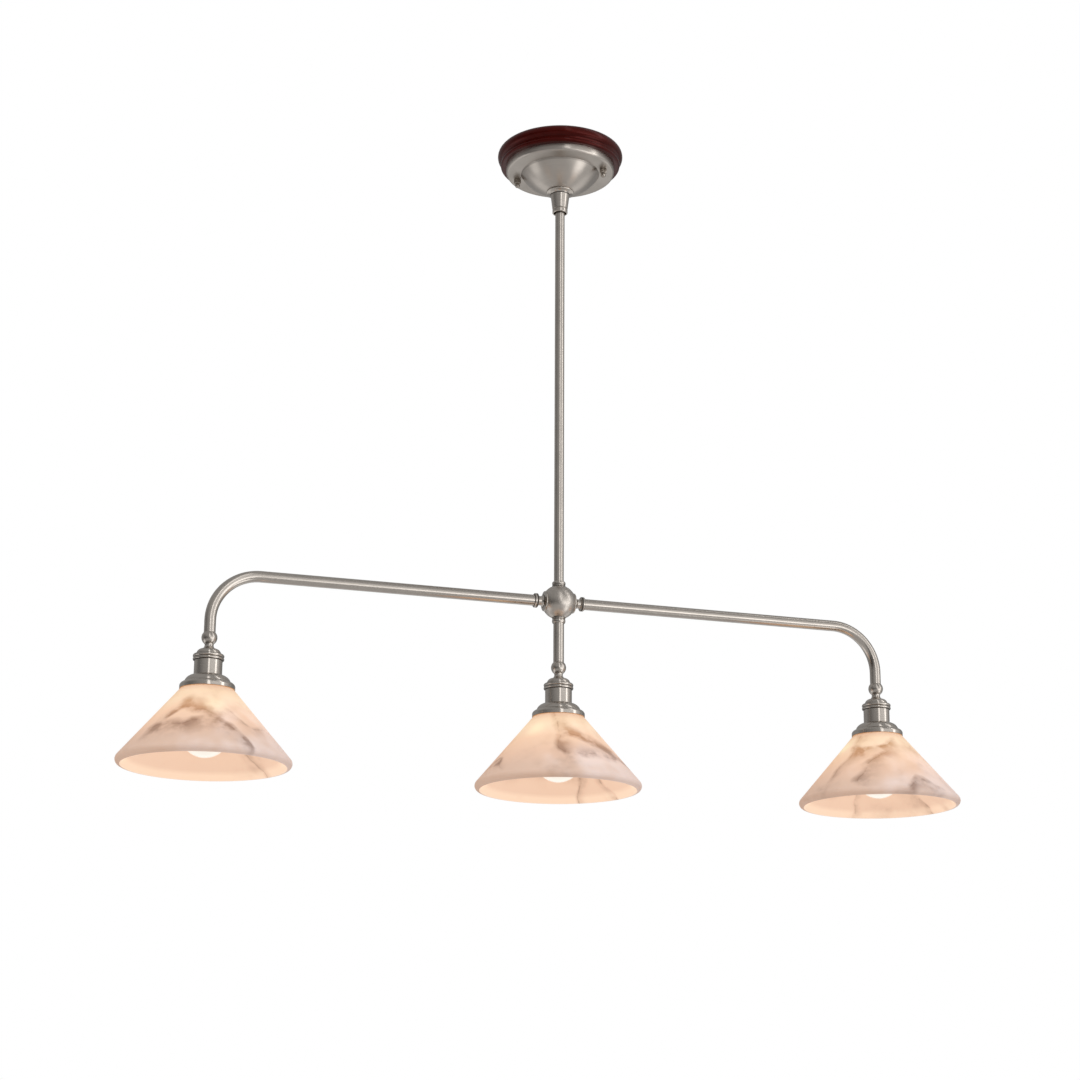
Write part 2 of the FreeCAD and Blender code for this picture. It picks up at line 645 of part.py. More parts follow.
def cup_collar():
    """Flared ring that fits the dome above the cup."""
    bottom = CUP_TOP_Z + SEAT_GAP
    foot_r = cup_skin_r(CUP_TOP_Z) + COLLAR_FOOT_PROUD
    fit_sphere_r = DOME_SPHERE_R + SEAT_GAP
    top_r = COLLAR_R - COLLAR_RIM_ROUND
    top_z = DOME_CENTRE_Z - math.sqrt(fit_sphere_r**2 - top_r**2)
    return turned(
        [
            (top_r, top_z),
            Bow((top_r, top_z - COLLAR_RIM_H), -COLLAR_RIM_ROUND),
            Bow((foot_r, bottom), COLLAR_FLARE),
            (SPIGOT_HOLE_R, bottom),
        ]
        + sphere_arc(DOME_CENTRE_Z, fit_sphere_r, SPIGOT_HOLE_R, top_r, -1)
    )


def cup_washer():
    """Lock washer inside the dome."""
    return ring(CUP_WASHER_R, SPIGOT_HOLE_R, WASHER_Z, WASHER_Z + CUP_WASHER_THICK)


def cup_nut():
    """Hexagonal nut on the spigot, inside the dome."""
    flats = 2 * (SPIGOT_R + CUP_NUT_WALL)
    return hexagon(flats, CUP_NUT_Z, CUP_NUT_Z + CUP_NUT_H, SPIGOT_HOLE_R)


# ---------------------------------------------------------------- swivel
def seat_ring():
    """Thin nylon ring between the swivel ball and the cup."""
    low, high = SEAT_RING_LOW, SEAT_RING_HIGH
    return turned(
        arc(0, BALL_Z, SEAT_RING_OUT_R, low, high) + arc(0, BALL_Z, SEAT_RING_IN_R, high, low)
    )


def swivel_ball():
    """Ball with a through hole for the nipple."""
    edge = math.degrees(math.acos(BALL_HOLE_R / BALL_R))
    return turned(arc(0, BALL_Z, BALL_R, -edge, edge))


def swivel_nipple():
    """Hollow threaded nipple through the ball into the rod."""
    return ring(NIPPLE_R, NIPPLE_BORE_R, ROD_TOP_Z - NIPPLE_IN_ROD, NIPPLE_TOP_Z)


def nipple_nut():
    """Nut that keeps the nipple in the ball."""
    flats = 2 * (NIPPLE_R + NIPPLE_NUT_WALL)
    low = NIPPLE_NUT_TOP_Z - NIPPLE_NUT_H
    return hexagon(flats, low, NIPPLE_NUT_TOP_Z, NIPPLE_R + THREAD_GAP)


def down_rod():
    """Straight tube from the swivel to the hub."""
    return ring(ROD_R, ROD_BORE_R, HUB_Z + HUB_SHOULDER + SEAT_GAP, ROD_TOP_Z)


# ---------------------------------------------------------------- hub
def hub_ball():
    """Hollow ball with four threaded holes."""
    centre = V(0, 0, HUB_Z)
    ball = Part.makeSphere(HUB_R, centre).cut(Part.makeSphere(HUB_R - HUB_WALL, centre))
    for way in (V(1, 0, 0), UP):
        ball = ball.cut(rod_along(HUB_HOLE_R, centre - way * HUB_R, centre + way * HUB_R))
    return ball


def hub_collar(height, tube_r, proud):
    """Turned ring round a tube, seated on the hub, standing up Z from the hub's centre."""
    bore_r = tube_r + THREAD_GAP
    collar_r = tube_r + proud
    foot = math.sqrt(HUB_FIT_R**2 - collar_r**2)
    groove_z = foot + COLLAR_FOOT_H
    waist_r = collar_r - COLLAR_GROOVE
    top = foot + height
    return turned(
        [
            (collar_r, groove_z),
            (waist_r, groove_z),
            (waist_r, groove_z + COLLAR_GROOVE),
            Bow((waist_r, top), COLLAR_BULGE),
            (bore_r, top),
        ]
        + sphere_arc(0, HUB_FIT_R, bore_r, collar_r, 1)
    )


def rod_collar():
    """Ring round the rod, on top of the hub."""
    return hub_collar(ROD_COLLAR_H, ROD_R, ROD_COLLAR_PROUD).translate(V(0, 0, HUB_Z))


def drop_collar():
    """Ring round the drop tube, under the hub."""
    made = hub_collar(DROP_COLLAR_H, DROP_TUBE_R, DROP_COLLAR_PROUD)
    return made.rotate(ORIGIN, ACROSS, 180).translate(V(0, 0, HUB_Z))


def hub_nipples():
    """Two hollow nipples: hub to rod, and hub to drop tube with its wider plug."""
    seat = HUB_SHOULDER + SEAT_GAP
    top = seat + NIPPLE_IN_TUBE
    upper = ring(NIPPLE_R, NIPPLE_BORE_R, HUB_PLUG_START, top)
    lower = turned(
        [
            (NIPPLE_BORE_R, HUB_PLUG_START),
            (NIPPLE_R, HUB_PLUG_START),
            (NIPPLE_R, seat),
            (DROP_PLUG_R, seat),
            (DROP_PLUG_R, top),
            (NIPPLE_BORE_R, top),
        ]
    ).rotate(ORIGIN, ACROSS, 180)
    return Part.makeCompound([nipple.translate(V(0, 0, HUB_Z)) for nipple in (upper, lower)])


def arm_bell(side):
    """Flanged bell between hub and arm, with a spigot at each end."""
    rim_end = BELL_RIM_X + BELL_RIM_T
    plug_end = ARM_X + BELL_SPIGOT_IN_ARM
    bell = turned(
        [(LEAD_BORE_R, HUB_PLUG_START), (NIPPLE_R, HUB_PLUG_START)]
        + sphere_arc(0, HUB_FIT_R, NIPPLE_R, BELL_RIM_R, 1)
        + [
            Bow((BELL_RIM_R, rim_end), BELL_RIM_BULGE),
            (BELL_RIM_R - BELL_SHOULDER, rim_end),
            Bow((ARM_NECK_R, NECK_X), -BELL_HOLLOW),
            (ARM_NECK_R, ARM_RING_X),
            (ARM_PLUG_R, ARM_RING_X),
            (ARM_PLUG_R, plug_end),
            (LEAD_BORE_R, plug_end),
        ]
    )
    return along_arm(bell, side)


def arm_rings():
    """Two grooved rings where the arms begin."""
    bore_r = ARM_PLUG_R + THREAD_GAP
    groove = ARM_RING_GROOVE
    low, high = ARM_RING_X + SEAT_GAP, ARM_RING_X + ARM_RING_WIDTH
    made = turned(
        [
            (bore_r, low),
            (ARM_RING_R - groove, low),
            (ARM_RING_R, low + groove),
            (ARM_RING_R, high - groove),
            (ARM_RING_R - groove, high),
            (bore_r, high),
        ]
    )
    return Part.makeCompound([along_arm(made.copy(), side) for side in SIDES])


def arm_tube(side):
    """Tube that runs out level and bends down to a side light."""
    light = LIGHTS["left" if side < 0 else "right"]
    start = V(side * ARM_X, 0, HUB_Z)
    corner = V(light.x, 0, HUB_Z)
    end = light + V(0, 0, ball_seat(ARM_R) + SEAT_GAP)
    route = bent_route(start, corner, end, ARM_BEND_R)
    return swept(ARM_R, route).cut(swept(ARM_BORE_R, route))


def drop_tube():
    """Short straight tube from the hub to the middle light."""
    low = LIGHTS["centre"].z + ball_seat(DROP_TUBE_R) + SEAT_GAP
    return ring(DROP_TUBE_R, DROP_BORE_R, low, HUB_Z - HUB_SHOULDER - SEAT_GAP)


# ---------------------------------------------------------------- lights
def ball_seat(tube_r):
    """Height on an end ball where a tube of this radius sits."""
    return math.sqrt(END_BALL_R**2 - tube_r**2)


def end_ball(tube_r):
    """Turned ball with a plug for its tube and a threaded spigot below."""
    seat = ball_seat(tube_r)
    plug_r = tube_r - TUBE_WALL - THREAD_GAP
    high = math.degrees(math.acos(tube_r / END_BALL_R))
    low = -math.degrees(math.acos(CAP_NECK_R / END_BALL_R))
    return turned(
        [
            (LEAD_BORE_R, seat + BALL_PLUG_LENGTH),
            (LEAD_BORE_R, -SPIGOT_BOTTOM),
            (BALL_SPIGOT_R, -SPIGOT_BOTTOM),
            (BALL_SPIGOT_R, -BALL_NECK_DOWN),
        ]
        + arc(0, 0, END_BALL_R, low, high)
        + [(plug_r, seat), (plug_r, seat + BALL_PLUG_LENGTH)]
    )


def bead(bottom, body_r):
    """Half-round bead of the socket cover, from its body's radius up to the top corner."""
    core_r = BEAD_R - BEAD_ROUND
    return [(body_r, bottom), (core_r, bottom), Bow((core_r, bottom + BEAD_H), BEAD_ROUND)]


def socket_cap():
    """Neck, bell and upper bead of the socket cover."""
    top = -BALL_NECK_DOWN - SEAT_GAP
    bell_top, bell_low = -CAP_BELL_TOP, -CAP_BELL_BOTTOM
    roof_z = bell_top - CAP_ROOF
    inner_bell_r = CAP_BELL_R - CAP_WALL
    roof_r = inner_bell_r - CAP_BELL_H / 2 - EDGE
    return turned(
        [
            (SPIGOT_FIT_R, top),
            (SPIGOT_FIT_R, roof_z),
            (roof_r, roof_z),
            Bow((inner_bell_r, bell_low), -CAP_BELL_BULGE),
            (SLEEVE_BORE_R, bell_low - CAP_WALL),
        ]
        + bead(-BEAD_JOINT, SLEEVE_BORE_R)
        + [
            (CAP_BELL_R + EDGE, bell_low),
            (CAP_BELL_R, bell_low + EDGE),
            Bow((CAP_NECK_R + CAP_NECK_FLARE, bell_top), CAP_BELL_BULGE),
            (CAP_NECK_R + CAP_NECK_FLARE - EDGE, bell_top + EDGE),
            Bow((CAP_NECK_R, top), -CAP_NECK_HOLLOW),
        ]
    )


def socket_sleeve():
    """Lower bead and cylinder of the socket cover."""
    top = -BEAD_JOINT - SEAT_GAP
    return turned(
        [(SLEEVE_BORE_R, top), (SLEEVE_BORE_R, -SLEEVE_BOTTOM), (SLEEVE_R, -SLEEVE_BOTTOM)]
        + bead(top - BEAD_H, SLEEVE_R)
    )


def gallery():
    """Stepped dome that carries the shade."""
    top, step_z = -GALLERY_TOP, -GALLERY_STEP_AT
    ledge_z, lip_z = -GALLERY_LEDGE, -GALLERY_BOTTOM
    wall = GALLERY_WALL
    lip_in_r = GALLERY_LIP_R - wall
    lip_round_z = ledge_z - GALLERY_LIP_DROP
    return turned(
        [
            (HOLDER_FIT_R, top),
            (SLEEVE_R, top),
            Bow((GALLERY_STEP_R, step_z), -GALLERY_DOME_BULGE),
            (GALLERY_STEP_R + EDGE, step_z),
            Bow((GALLERY_LIP_R, lip_round_z), -GALLERY_LIP_BULGE),
            (GALLERY_LIP_R, lip_z),
            (lip_in_r, lip_z),
            (lip_in_r, lip_round_z),
            Bow((lip_in_r - GALLERY_LIP_IN, ledge_z - wall), GALLERY_LIP_IN_BULGE),
            (GALLERY_STEP_R - wall, ledge_z - wall),
            (GALLERY_STEP_R - wall, step_z),
            Bow((SLEEVE_R, top - wall), GALLERY_DOME_BULGE),
            (HOLDER_FIT_R, top - wall),
        ]
    )


def lampholder():
    """Insulating body: entry boss, terminal chamber, bore for the screw shell."""
    return turned(
        [
            (SPIGOT_FIT_R, -HOLDER_TOP),
            (HOLDER_BOSS_R, -HOLDER_TOP),
            (HOLDER_BOSS_R, -HOLDER_SHOULDER),
            (HOLDER_R - HOLDER_CHAMFER, -HOLDER_SHOULDER),
            (HOLDER_R, -HOLDER_SHOULDER - HOLDER_CHAMFER),
            (HOLDER_R, -HOLDER_BOTTOM),
            (HOLDER_BORE_R, -HOLDER_BOTTOM),
            (HOLDER_BORE_R, -HOLDER_CEILING),
            (0, -HOLDER_CEILING),
            (0, -CHAMBER_BOTTOM),
            (SPIGOT_FIT_R, -CHAMBER_BOTTOM),
        ]
    )


def screw_shell():
    """Thin corrugated shell that takes the lamp's cap, with its turned-in top."""
    top = -HOLDER_CEILING - SEAT_GAP
    root_r = SHELL_R - THREAD_DEPTH
    eye_r = CONTACT_R + CONTACT_ROOM
    thread_z = top - SHELL_PLAIN_H
    path = [(eye_r, top), (root_r, top), (root_r, thread_z)]
    for _ in range(THREAD_TURNS):
        thread_z -= THREAD_PITCH
        path.append(Bow((root_r, thread_z), -THREAD_DEPTH))
    path += [
        (SHELL_BORE_R, thread_z),
        (SHELL_BORE_R, top - SHELL_WALL),
        (eye_r, top - SHELL_WALL),
    ]
    return turned(path)


def centre_contact():
    """Disc that touches the tip of the lamp."""
    return Part.makeCylinder(CONTACT_R, CONTACT_THICK, V(0, 0, -CONTACT_BOTTOM), UP)


def shade_ring():
    """Ring screwed on the lampholder that clamps the shade, with finger notches."""
    low = -SHADE_RING_BOTTOM
    made = ring(SHADE_RING_R, HOLDER_FIT_R, low, -SHADE_RING_TOP)
    for k in range(SHADE_RING_NOTCHES):
        foot = polar(SHADE_RING_R, 360 * k / SHADE_RING_NOTCHES, low)
        made = made.cut(Part.makeCylinder(SHADE_RING_NOTCH_R, SHADE_RING_H, foot, UP))
    return made


def shade_slope(start):
    """Fall of the outer wall, in radians, on the line from start that meets the nose."""
    to_r = SHADE_R - SHADE_NOSE_R - start[0]
    to_z = -SHADE_RIM_AT - start[1]
    return math.atan2(to_z, to_r) + math.asin(SHADE_NOSE_R / math.hypot(to_r, to_z))


def shade():
    """Conical stone shade: clamped crown, straight outer wall, thick rounded lip."""
    start = (GALLERY_LIP_R - SHADE_SHOULDER_IN, -SHADE_SLOPE_TOP)
    fall = shade_slope(start)
    collar_r = GALLERY_LIP_R - GALLERY_WALL - SHADE_COLLAR_GAP
    outward_deg = math.degrees(fall) + 90  # square to the outer wall
    wall_across = SHADE_WALL / -math.sin(fall)  # wall measured level
    widening = math.cos(fall) / -math.sin(fall)  # per mm down
    inner_start_r = start[0] - wall_across
    nose_z = -SHADE_BOTTOM + SHADE_INNER_NOSE_R
    nose_r = inner_start_r + (start[1] - nose_z) * widening + SHADE_INNER_NOSE_R / -math.sin(fall)
    well_z = start[1] - (SHADE_WELL_R - inner_start_r) / widening
    return turned(
        [
            (SHADE_HOLE_R, -SHADE_TOP),
            (collar_r - SHADE_CHAMFER, -SHADE_TOP),
            (collar_r, -SHADE_TOP - SHADE_CHAMFER),
            (collar_r, -GALLERY_BOTTOM),
            start,
        ]
        + arc(SHADE_R - SHADE_NOSE_R, -SHADE_RIM_AT, SHADE_NOSE_R, outward_deg, -90)
        + arc(nose_r, nose_z, SHADE_INNER_NOSE_R, -90, outward_deg - 180)
        + [
            (SHADE_WELL_R, well_z),
            (SHADE_WELL_R, -SHADE_CROWN_BOTTOM),
            (SHADE_HOLE_R, -SHADE_CROWN_BOTTOM),
        ]
    )


def lamp_cap():
    """Screw base of the lamp: threads, insulating cone and centre tip."""
    root_r = LAMP_CAP_R - LAMP_THREAD_DEPTH
    low, tip_z = -LAMP_SHOULDER, -LAMP_TIP
    thread_z = low + LAMP_CAP_PLAIN_H
    path = [(0, low), (LAMP_CAP_R, low), (LAMP_CAP_R, low + LAMP_CAP_RIM), (root_r, thread_z)]
    for _ in range(THREAD_TURNS - 1):
        thread_z += THREAD_PITCH
        path.append(Bow((root_r, thread_z), LAMP_THREAD_DEPTH))
    tip_r = CONTACT_R - LAMP_TIP_IN
    tip_sphere_r = (tip_r**2 + LAMP_TIP_H**2) / (2 * LAMP_TIP_H)
    path += [
        (LAMP_CAP_R - LAMP_CONE_IN, tip_z - LAMP_CONE_BELOW_TIP),
        (CONTACT_R, tip_z - LAMP_TIP_H - EDGE),
        (CONTACT_R, tip_z - LAMP_TIP_H),
    ]
    return turned(path + sphere_arc(tip_z - tip_sphere_r, tip_sphere_r, tip_r, 0, 1))


def lamp_glass():
    """Thin pear-shaped bulb, open where the cap holds it."""
    ball_z = -LAMP_BOTTOM + LAMP_R
    top = -LAMP_SHOULDER - SEAT_GAP
    neck_z = top - LAMP_NECK_H
    top_r = LAMP_CAP_R + LAMP_NECK_PROUD
    neck_r = top_r + LAMP_NECK_FLARE

    def ball_arc(radius, start, end):
        return arc(0, ball_z, radius, start, end)

    inner_r = LAMP_R - LAMP_GLASS
    outside = ball_arc(LAMP_R, LAMP_BALL_START, -90)
    inside = ball_arc(inner_r, -90, LAMP_BALL_START)
    return turned(
        [(top_r, top), (neck_r, neck_z), Bow(outside[0], LAMP_NECK_HOLLOW)]
        + outside[1:]
        + inside
        + [Bow((neck_r - LAMP_GLASS, neck_z), -LAMP_NECK_HOLLOW), (top_r - LAMP_GLASS, top)]
    )


# ---------------------------------------------------------------- leads
def lamp_lead(name):
    """Lead from the splice block in the hub to one lampholder's chamber."""
    place = LIGHTS[name]
    end = place - V(0, 0, CHAMBER_BOTTOM - CHAMBER_DEPTH / 2)
    if name == "centre":
        return rod_along(LAMP_LEAD_R, V(0, 0, HUB_Z - SPLICE_HALF[2] - SEAT_GAP), end)
    start = V(math.copysign(SPLICE_HALF[0] + SEAT_GAP, place.x), 0, HUB_Z)
    return swept(LAMP_LEAD_R, bent_route(start, V(place.x, 0, HUB_Z), end, ARM_BEND_R))


def stem_lead():
    """Lead up the rod, from the splice block to the top of the nipple."""
    low = V(0, 0, HUB_Z + SPLICE_HALF[2] + SEAT_GAP)
    return rod_along(STEM_LEAD_R, low, V(0, 0, NIPPLE_TOP_Z))


def splice_block():
    """Insulated splice block inside the hub."""
    x, y, z = SPLICE_HALF
    block = Part.makeBox(2 * x, 2 * y, 2 * z, V(-x, -y, HUB_Z - z))
    return block.makeFillet(SPLICE_ROUND, block.Edges)


def core_route(turn_deg):
    """One core: up the spigot, over and out to its connector."""
    level = CONNECTOR_AT_Z - CORE_SPACING / 2
    start = polar(CORE_CIRCLE_R, turn_deg, CAVITY_TOP_Z + SEAT_GAP)
    corner = polar(CORE_CIRCLE_R, turn_deg, level)
    end = polar(CONNECTOR_FROM_R - SEAT_GAP, turn_deg, level)
    return bent_route(start, corner, end, CORE_BEND_R)


def canopy_leads():
    """Three cores from the swivel cup to the connectors."""
    return Part.makeCompound([swept(CORE_R, core_route(turn)) for turn in CORE_TURNS])


def wire_connectors():
    """Three tapered twist-on connectors lying level in the canopy."""
    start, end = CONNECTOR_FROM_R, CONNECTOR_FROM_R + CONNECTOR_LENGTH
    shoulder = start + CONNECTOR_MOUTH_H
    cone = turned(
        [
            (0, start),
            (CONNECTOR_MOUTH_R, start),
            (CONNECTOR_MOUTH_R, shoulder),
            (CONNECTOR_MOUTH_R - EDGE, shoulder + EDGE),
            (CONNECTOR_TIP_R, end - CONNECTOR_TIP_ROUND),
            (CONNECTOR_TIP_R - CONNECTOR_TIP_ROUND, end),
            (0, end),
        ]
    ).rotate(ORIGIN, ACROSS, 90)
    height = V(0, 0, CONNECTOR_AT_Z)
    return Part.makeCompound(
        [cone.copy().rotate(ORIGIN, UP, turn).translate(height) for turn in CORE_TURNS]
    )


def ground_lead():
    """Ring terminal under the ground screw and its core to a connector."""
    high = -CROSSBAR_THICK - SEAT_GAP
    low = high - TERMINAL_THICK
    rise_x = GROUND_SCREW_AT - GROUND_HEAD_R - CORE_R - GROUND_RISE_GAP
    eye = ring(GROUND_HEAD_R, GROUND_SCREW_R + THREAD_GAP, low, high)
    eye = eye.translate(V(GROUND_SCREW_AT, 0, 0))
    tongue_x = rise_x - CORE_R
    tongue_end = GROUND_SCREW_AT - GROUND_SCREW_R - TONGUE_OVERLAP
    corner = V(tongue_x, -CORE_R, low)
    tongue = Part.makeBox(tongue_end - tongue_x, 2 * CORE_R, TERMINAL_THICK, corner)
    level = CONNECTOR_AT_Z + CORE_SPACING / 2
    route = bent_route(
        V(CONNECTOR_FROM_R - SEAT_GAP, 0, level),
        V(rise_x, 0, level),
        V(rise_x, 0, low + TERMINAL_THICK / 2),
        GROUND_BEND_R,
    )
    return along_crossbar(eye.fuse(tongue).fuse(swept(CORE_R, route)).removeSplitter())


# ---------------------------------------------------------------- assembly
def fixed_nodes():
    """Every piece that the object holds once."""
    return {
        "ceiling_plate": ceiling_plate(),
        "canopy_pan": canopy_pan(),
        "crossbar": crossbar(),
        "canopy_studs": canopy_studs(),
        "canopy_knobs": canopy_knobs(),
        "ground_screw": ground_screw(),
        "ground_lead": ground_lead(),
        "swivel_cup": swivel_cup(),
        "cup_collar": cup_collar(),
        "cup_washer": cup_washer(),
        "cup_nut": cup_nut(),
        "canopy_leads": canopy_leads(),
        "wire_connectors": wire_connectors(),
        "seat_ring": seat_ring(),
        "swivel_ball": swivel_ball(),
        "swivel_nipple": swivel_nipple(),
        "nipple_nut": nipple_nut(),
        "down_rod": down_rod(),
        "rod_collar": rod_collar(),
        "hub_ball": hub_ball(),
        "drop_collar": drop_collar(),
        "hub_nipples": hub_nipples(),
        "arm_bell_left": arm_bell(-1),
        "arm_bell_right": arm_bell(1),
        "arm_rings": arm_rings(),
        "arm_tube_left": arm_tube(-1),
        "arm_tube_right": arm_tube(1),
        "drop_tube": drop_tube(),
        "stem_lead": stem_lead(),
        "splice_block": splice_block(),
    }


def light_nodes(name):
    """The pieces of one light, each with the light's name."""
    place = LIGHTS[name]
    tube_r = DROP_TUBE_R if name == "centre" else ARM_R
    made = {
        "end_ball": end_ball(tube_r),
        "socket_cap": socket_cap(),
        "socket_sleeve": socket_sleeve(),
        "gallery": gallery(),
        "lampholder": lampholder(),
        "shade": shade(),
        "lamp_cap": lamp_cap(),
        "lamp_glass": lamp_glass(),
    }
    nodes = {f"{piece}_{name}": shape.translate(place) for piece, shape in made.items()}
    nodes[f"lamp_lead_{name}"] = lamp_lead(name)
    return nodes


def shared_nodes():
    """Small pieces that repeat once per light and share a node."""
    makers = {
        "screw_shells": screw_shell,
        "centre_contacts": centre_contact,
        "shade_rings": shade_ring,
    }
    return {
        node: Part.makeCompound([make().translate(place) for place in LIGHTS.values()])
        for node, make in makers.items()
    }


def main():
    """Builds every node and writes one file for each."""
    os.makedirs("parts", exist_ok=True)
    nodes = fixed_nodes()
    for name in LIGHTS:
        nodes.update(light_nodes(name))
    nodes.update(shared_nodes())
    for name, shape in nodes.items():
        shape.exportStep(f"parts/{name}.step")
        print(f"{name}: {len(shape.Solids)} solid(s), {shape.Volume:.0f} mm3, valid {shape.isValid()}")


main()
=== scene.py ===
"""Looks of the straight three-light island pendant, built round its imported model.

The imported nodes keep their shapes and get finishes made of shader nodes. Lengths are in
metres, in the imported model's frame: +Z up out of the ceiling face, +X along the bar.
"""

from __future__ import annotations

import logging
import math
from abc import ABC, abstractmethod
from dataclasses import dataclass
from enum import Enum
from typing import Mapping, Optional, Sequence, Union

import bmesh
import bpy
from mathutils import Euler, Matrix, Vector

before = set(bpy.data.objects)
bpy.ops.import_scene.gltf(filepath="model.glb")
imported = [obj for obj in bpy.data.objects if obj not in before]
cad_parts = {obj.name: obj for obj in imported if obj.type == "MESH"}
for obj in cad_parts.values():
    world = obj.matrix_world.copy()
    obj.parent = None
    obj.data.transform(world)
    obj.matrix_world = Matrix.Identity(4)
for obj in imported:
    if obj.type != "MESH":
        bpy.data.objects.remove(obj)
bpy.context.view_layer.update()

log = logging.getLogger("pendant")

Colour = tuple[float, float, float]
Triple = tuple[float, float, float]
Stops = Sequence[tuple[float, Colour]]

MM = 0.001
FULL_TURN = 360.0
TINY = 1e-9  # keeps a division on an axis finite
MIX_INPUTS = (0, 6, 7)  # the Mix node's share, first colour and second colour
MIX_OUTPUT = 2  # its mixed colour
WHITE: Colour = (1.0, 1.0, 1.0)
ORIGIN: Triple = (0.0, 0.0, 0.0)
HUB: Triple = (0.0, 0.0, -599 * MM)
LIGHT_SPOTS: dict[str, Triple] = {
    "left": (-423 * MM, 0.0, -677 * MM),
    "centre": (0.0, 0.0, -681 * MM),
    "right": (423 * MM, 0.0, -677 * MM),
}
X_ONTO_Z: Triple = (0.0, 90.0, 0.0)  # turn in degrees that lays the bar's line on local Z


class Signal:
    """One output of a shader graph that Python sums treat as a number."""

    def __init__(self, graph: "Graph", socket: bpy.types.NodeSocket) -> None:
        """Keep the socket and its graph.

        Args:
            graph: the graph that new Math nodes go into.
            socket: the output that this signal stands for.
        """
        self.graph = graph
        self.socket = socket

    def __add__(self, other: "Value") -> "Signal":
        """Sum."""
        return self.graph.maths("ADD", self, other)

    def __radd__(self, other: "Value") -> "Signal":
        """Sum, the number first."""
        return self.graph.maths("ADD", other, self)

    def __sub__(self, other: "Value") -> "Signal":
        """Difference."""
        return self.graph.maths("SUBTRACT", self, other)

    def __rsub__(self, other: "Value") -> "Signal":
        """Difference, the number first."""
        return self.graph.maths("SUBTRACT", other, self)

    def __mul__(self, other: "Value") -> "Signal":
        """Product."""
        return self.graph.maths("MULTIPLY", self, other)

    def __rmul__(self, other: "Value") -> "Signal":
        """Product, the number first."""
        return self.graph.maths("MULTIPLY", other, self)

    def __truediv__(self, other: "Value") -> "Signal":
        """Quotient."""
        return self.graph.maths("DIVIDE", self, other)

    def __rtruediv__(self, other: "Value") -> "Signal":
        """Quotient, the number first."""
        return self.graph.maths("DIVIDE", other, self)

    def __neg__(self) -> "Signal":
        """Opposite."""
        return self.graph.maths("MULTIPLY", self, -1.0)

    def __abs__(self) -> "Signal":
        """Size without its sign."""
        return self.graph.maths("ABSOLUTE", self)

    def __lt__(self, other: "Value") -> "Signal":
        """1 where this signal is the smaller, 0 elsewhere."""
        return self.graph.maths("LESS_THAN", self, other)

    def __gt__(self, other: "Value") -> "Signal":
        """1 where this signal is the greater, 0 elsewhere."""
        return self.graph.maths("GREATER_THAN", self, other)

    def at_least(self, other: "Value") -> "Signal":
        """The greater of the two."""
        return self.graph.maths("MAXIMUM", self, other)

    def at_most(self, other: "Value") -> "Signal":
        """The smaller of the two."""
        return self.graph.maths("MINIMUM", self, other)

    def rise(self, low: float, high: float, first: float = 0.0, last: float = 1.0) -> "Signal":
        """A smooth step.

        Args:
            low: signal at which the step starts.
            high: signal at which it ends.
            first: value before the step.
            last: value after it.

        Returns:
            The stepped signal.
        """
        node = self.graph.add(
            "MapRange",
            {"interpolation_type": "SMOOTHSTEP"},
            {"Value": self, "From Min": low, "From Max": high, "To Min": first, "To Max": last},
        )
        return Signal(self.graph, node.outputs[0])


Value = Union[Signal, float]


def turn_share(degrees: Value) -> Value:
    """Where an angle from -180 to 180 degrees lies in a full turn, from 0 to 1."""
    return degrees / FULL_TURN + 0.5


def dimmed(colour: Colour, share: float) -> Colour:
    """What is left of a colour at this share of its strength."""
    return tuple(share * part for part in colour)


class Curve(Enum):
    """How a ramp goes from stop to stop."""

    STRAIGHT = "LINEAR"
    SMOOTH = "CARDINAL"


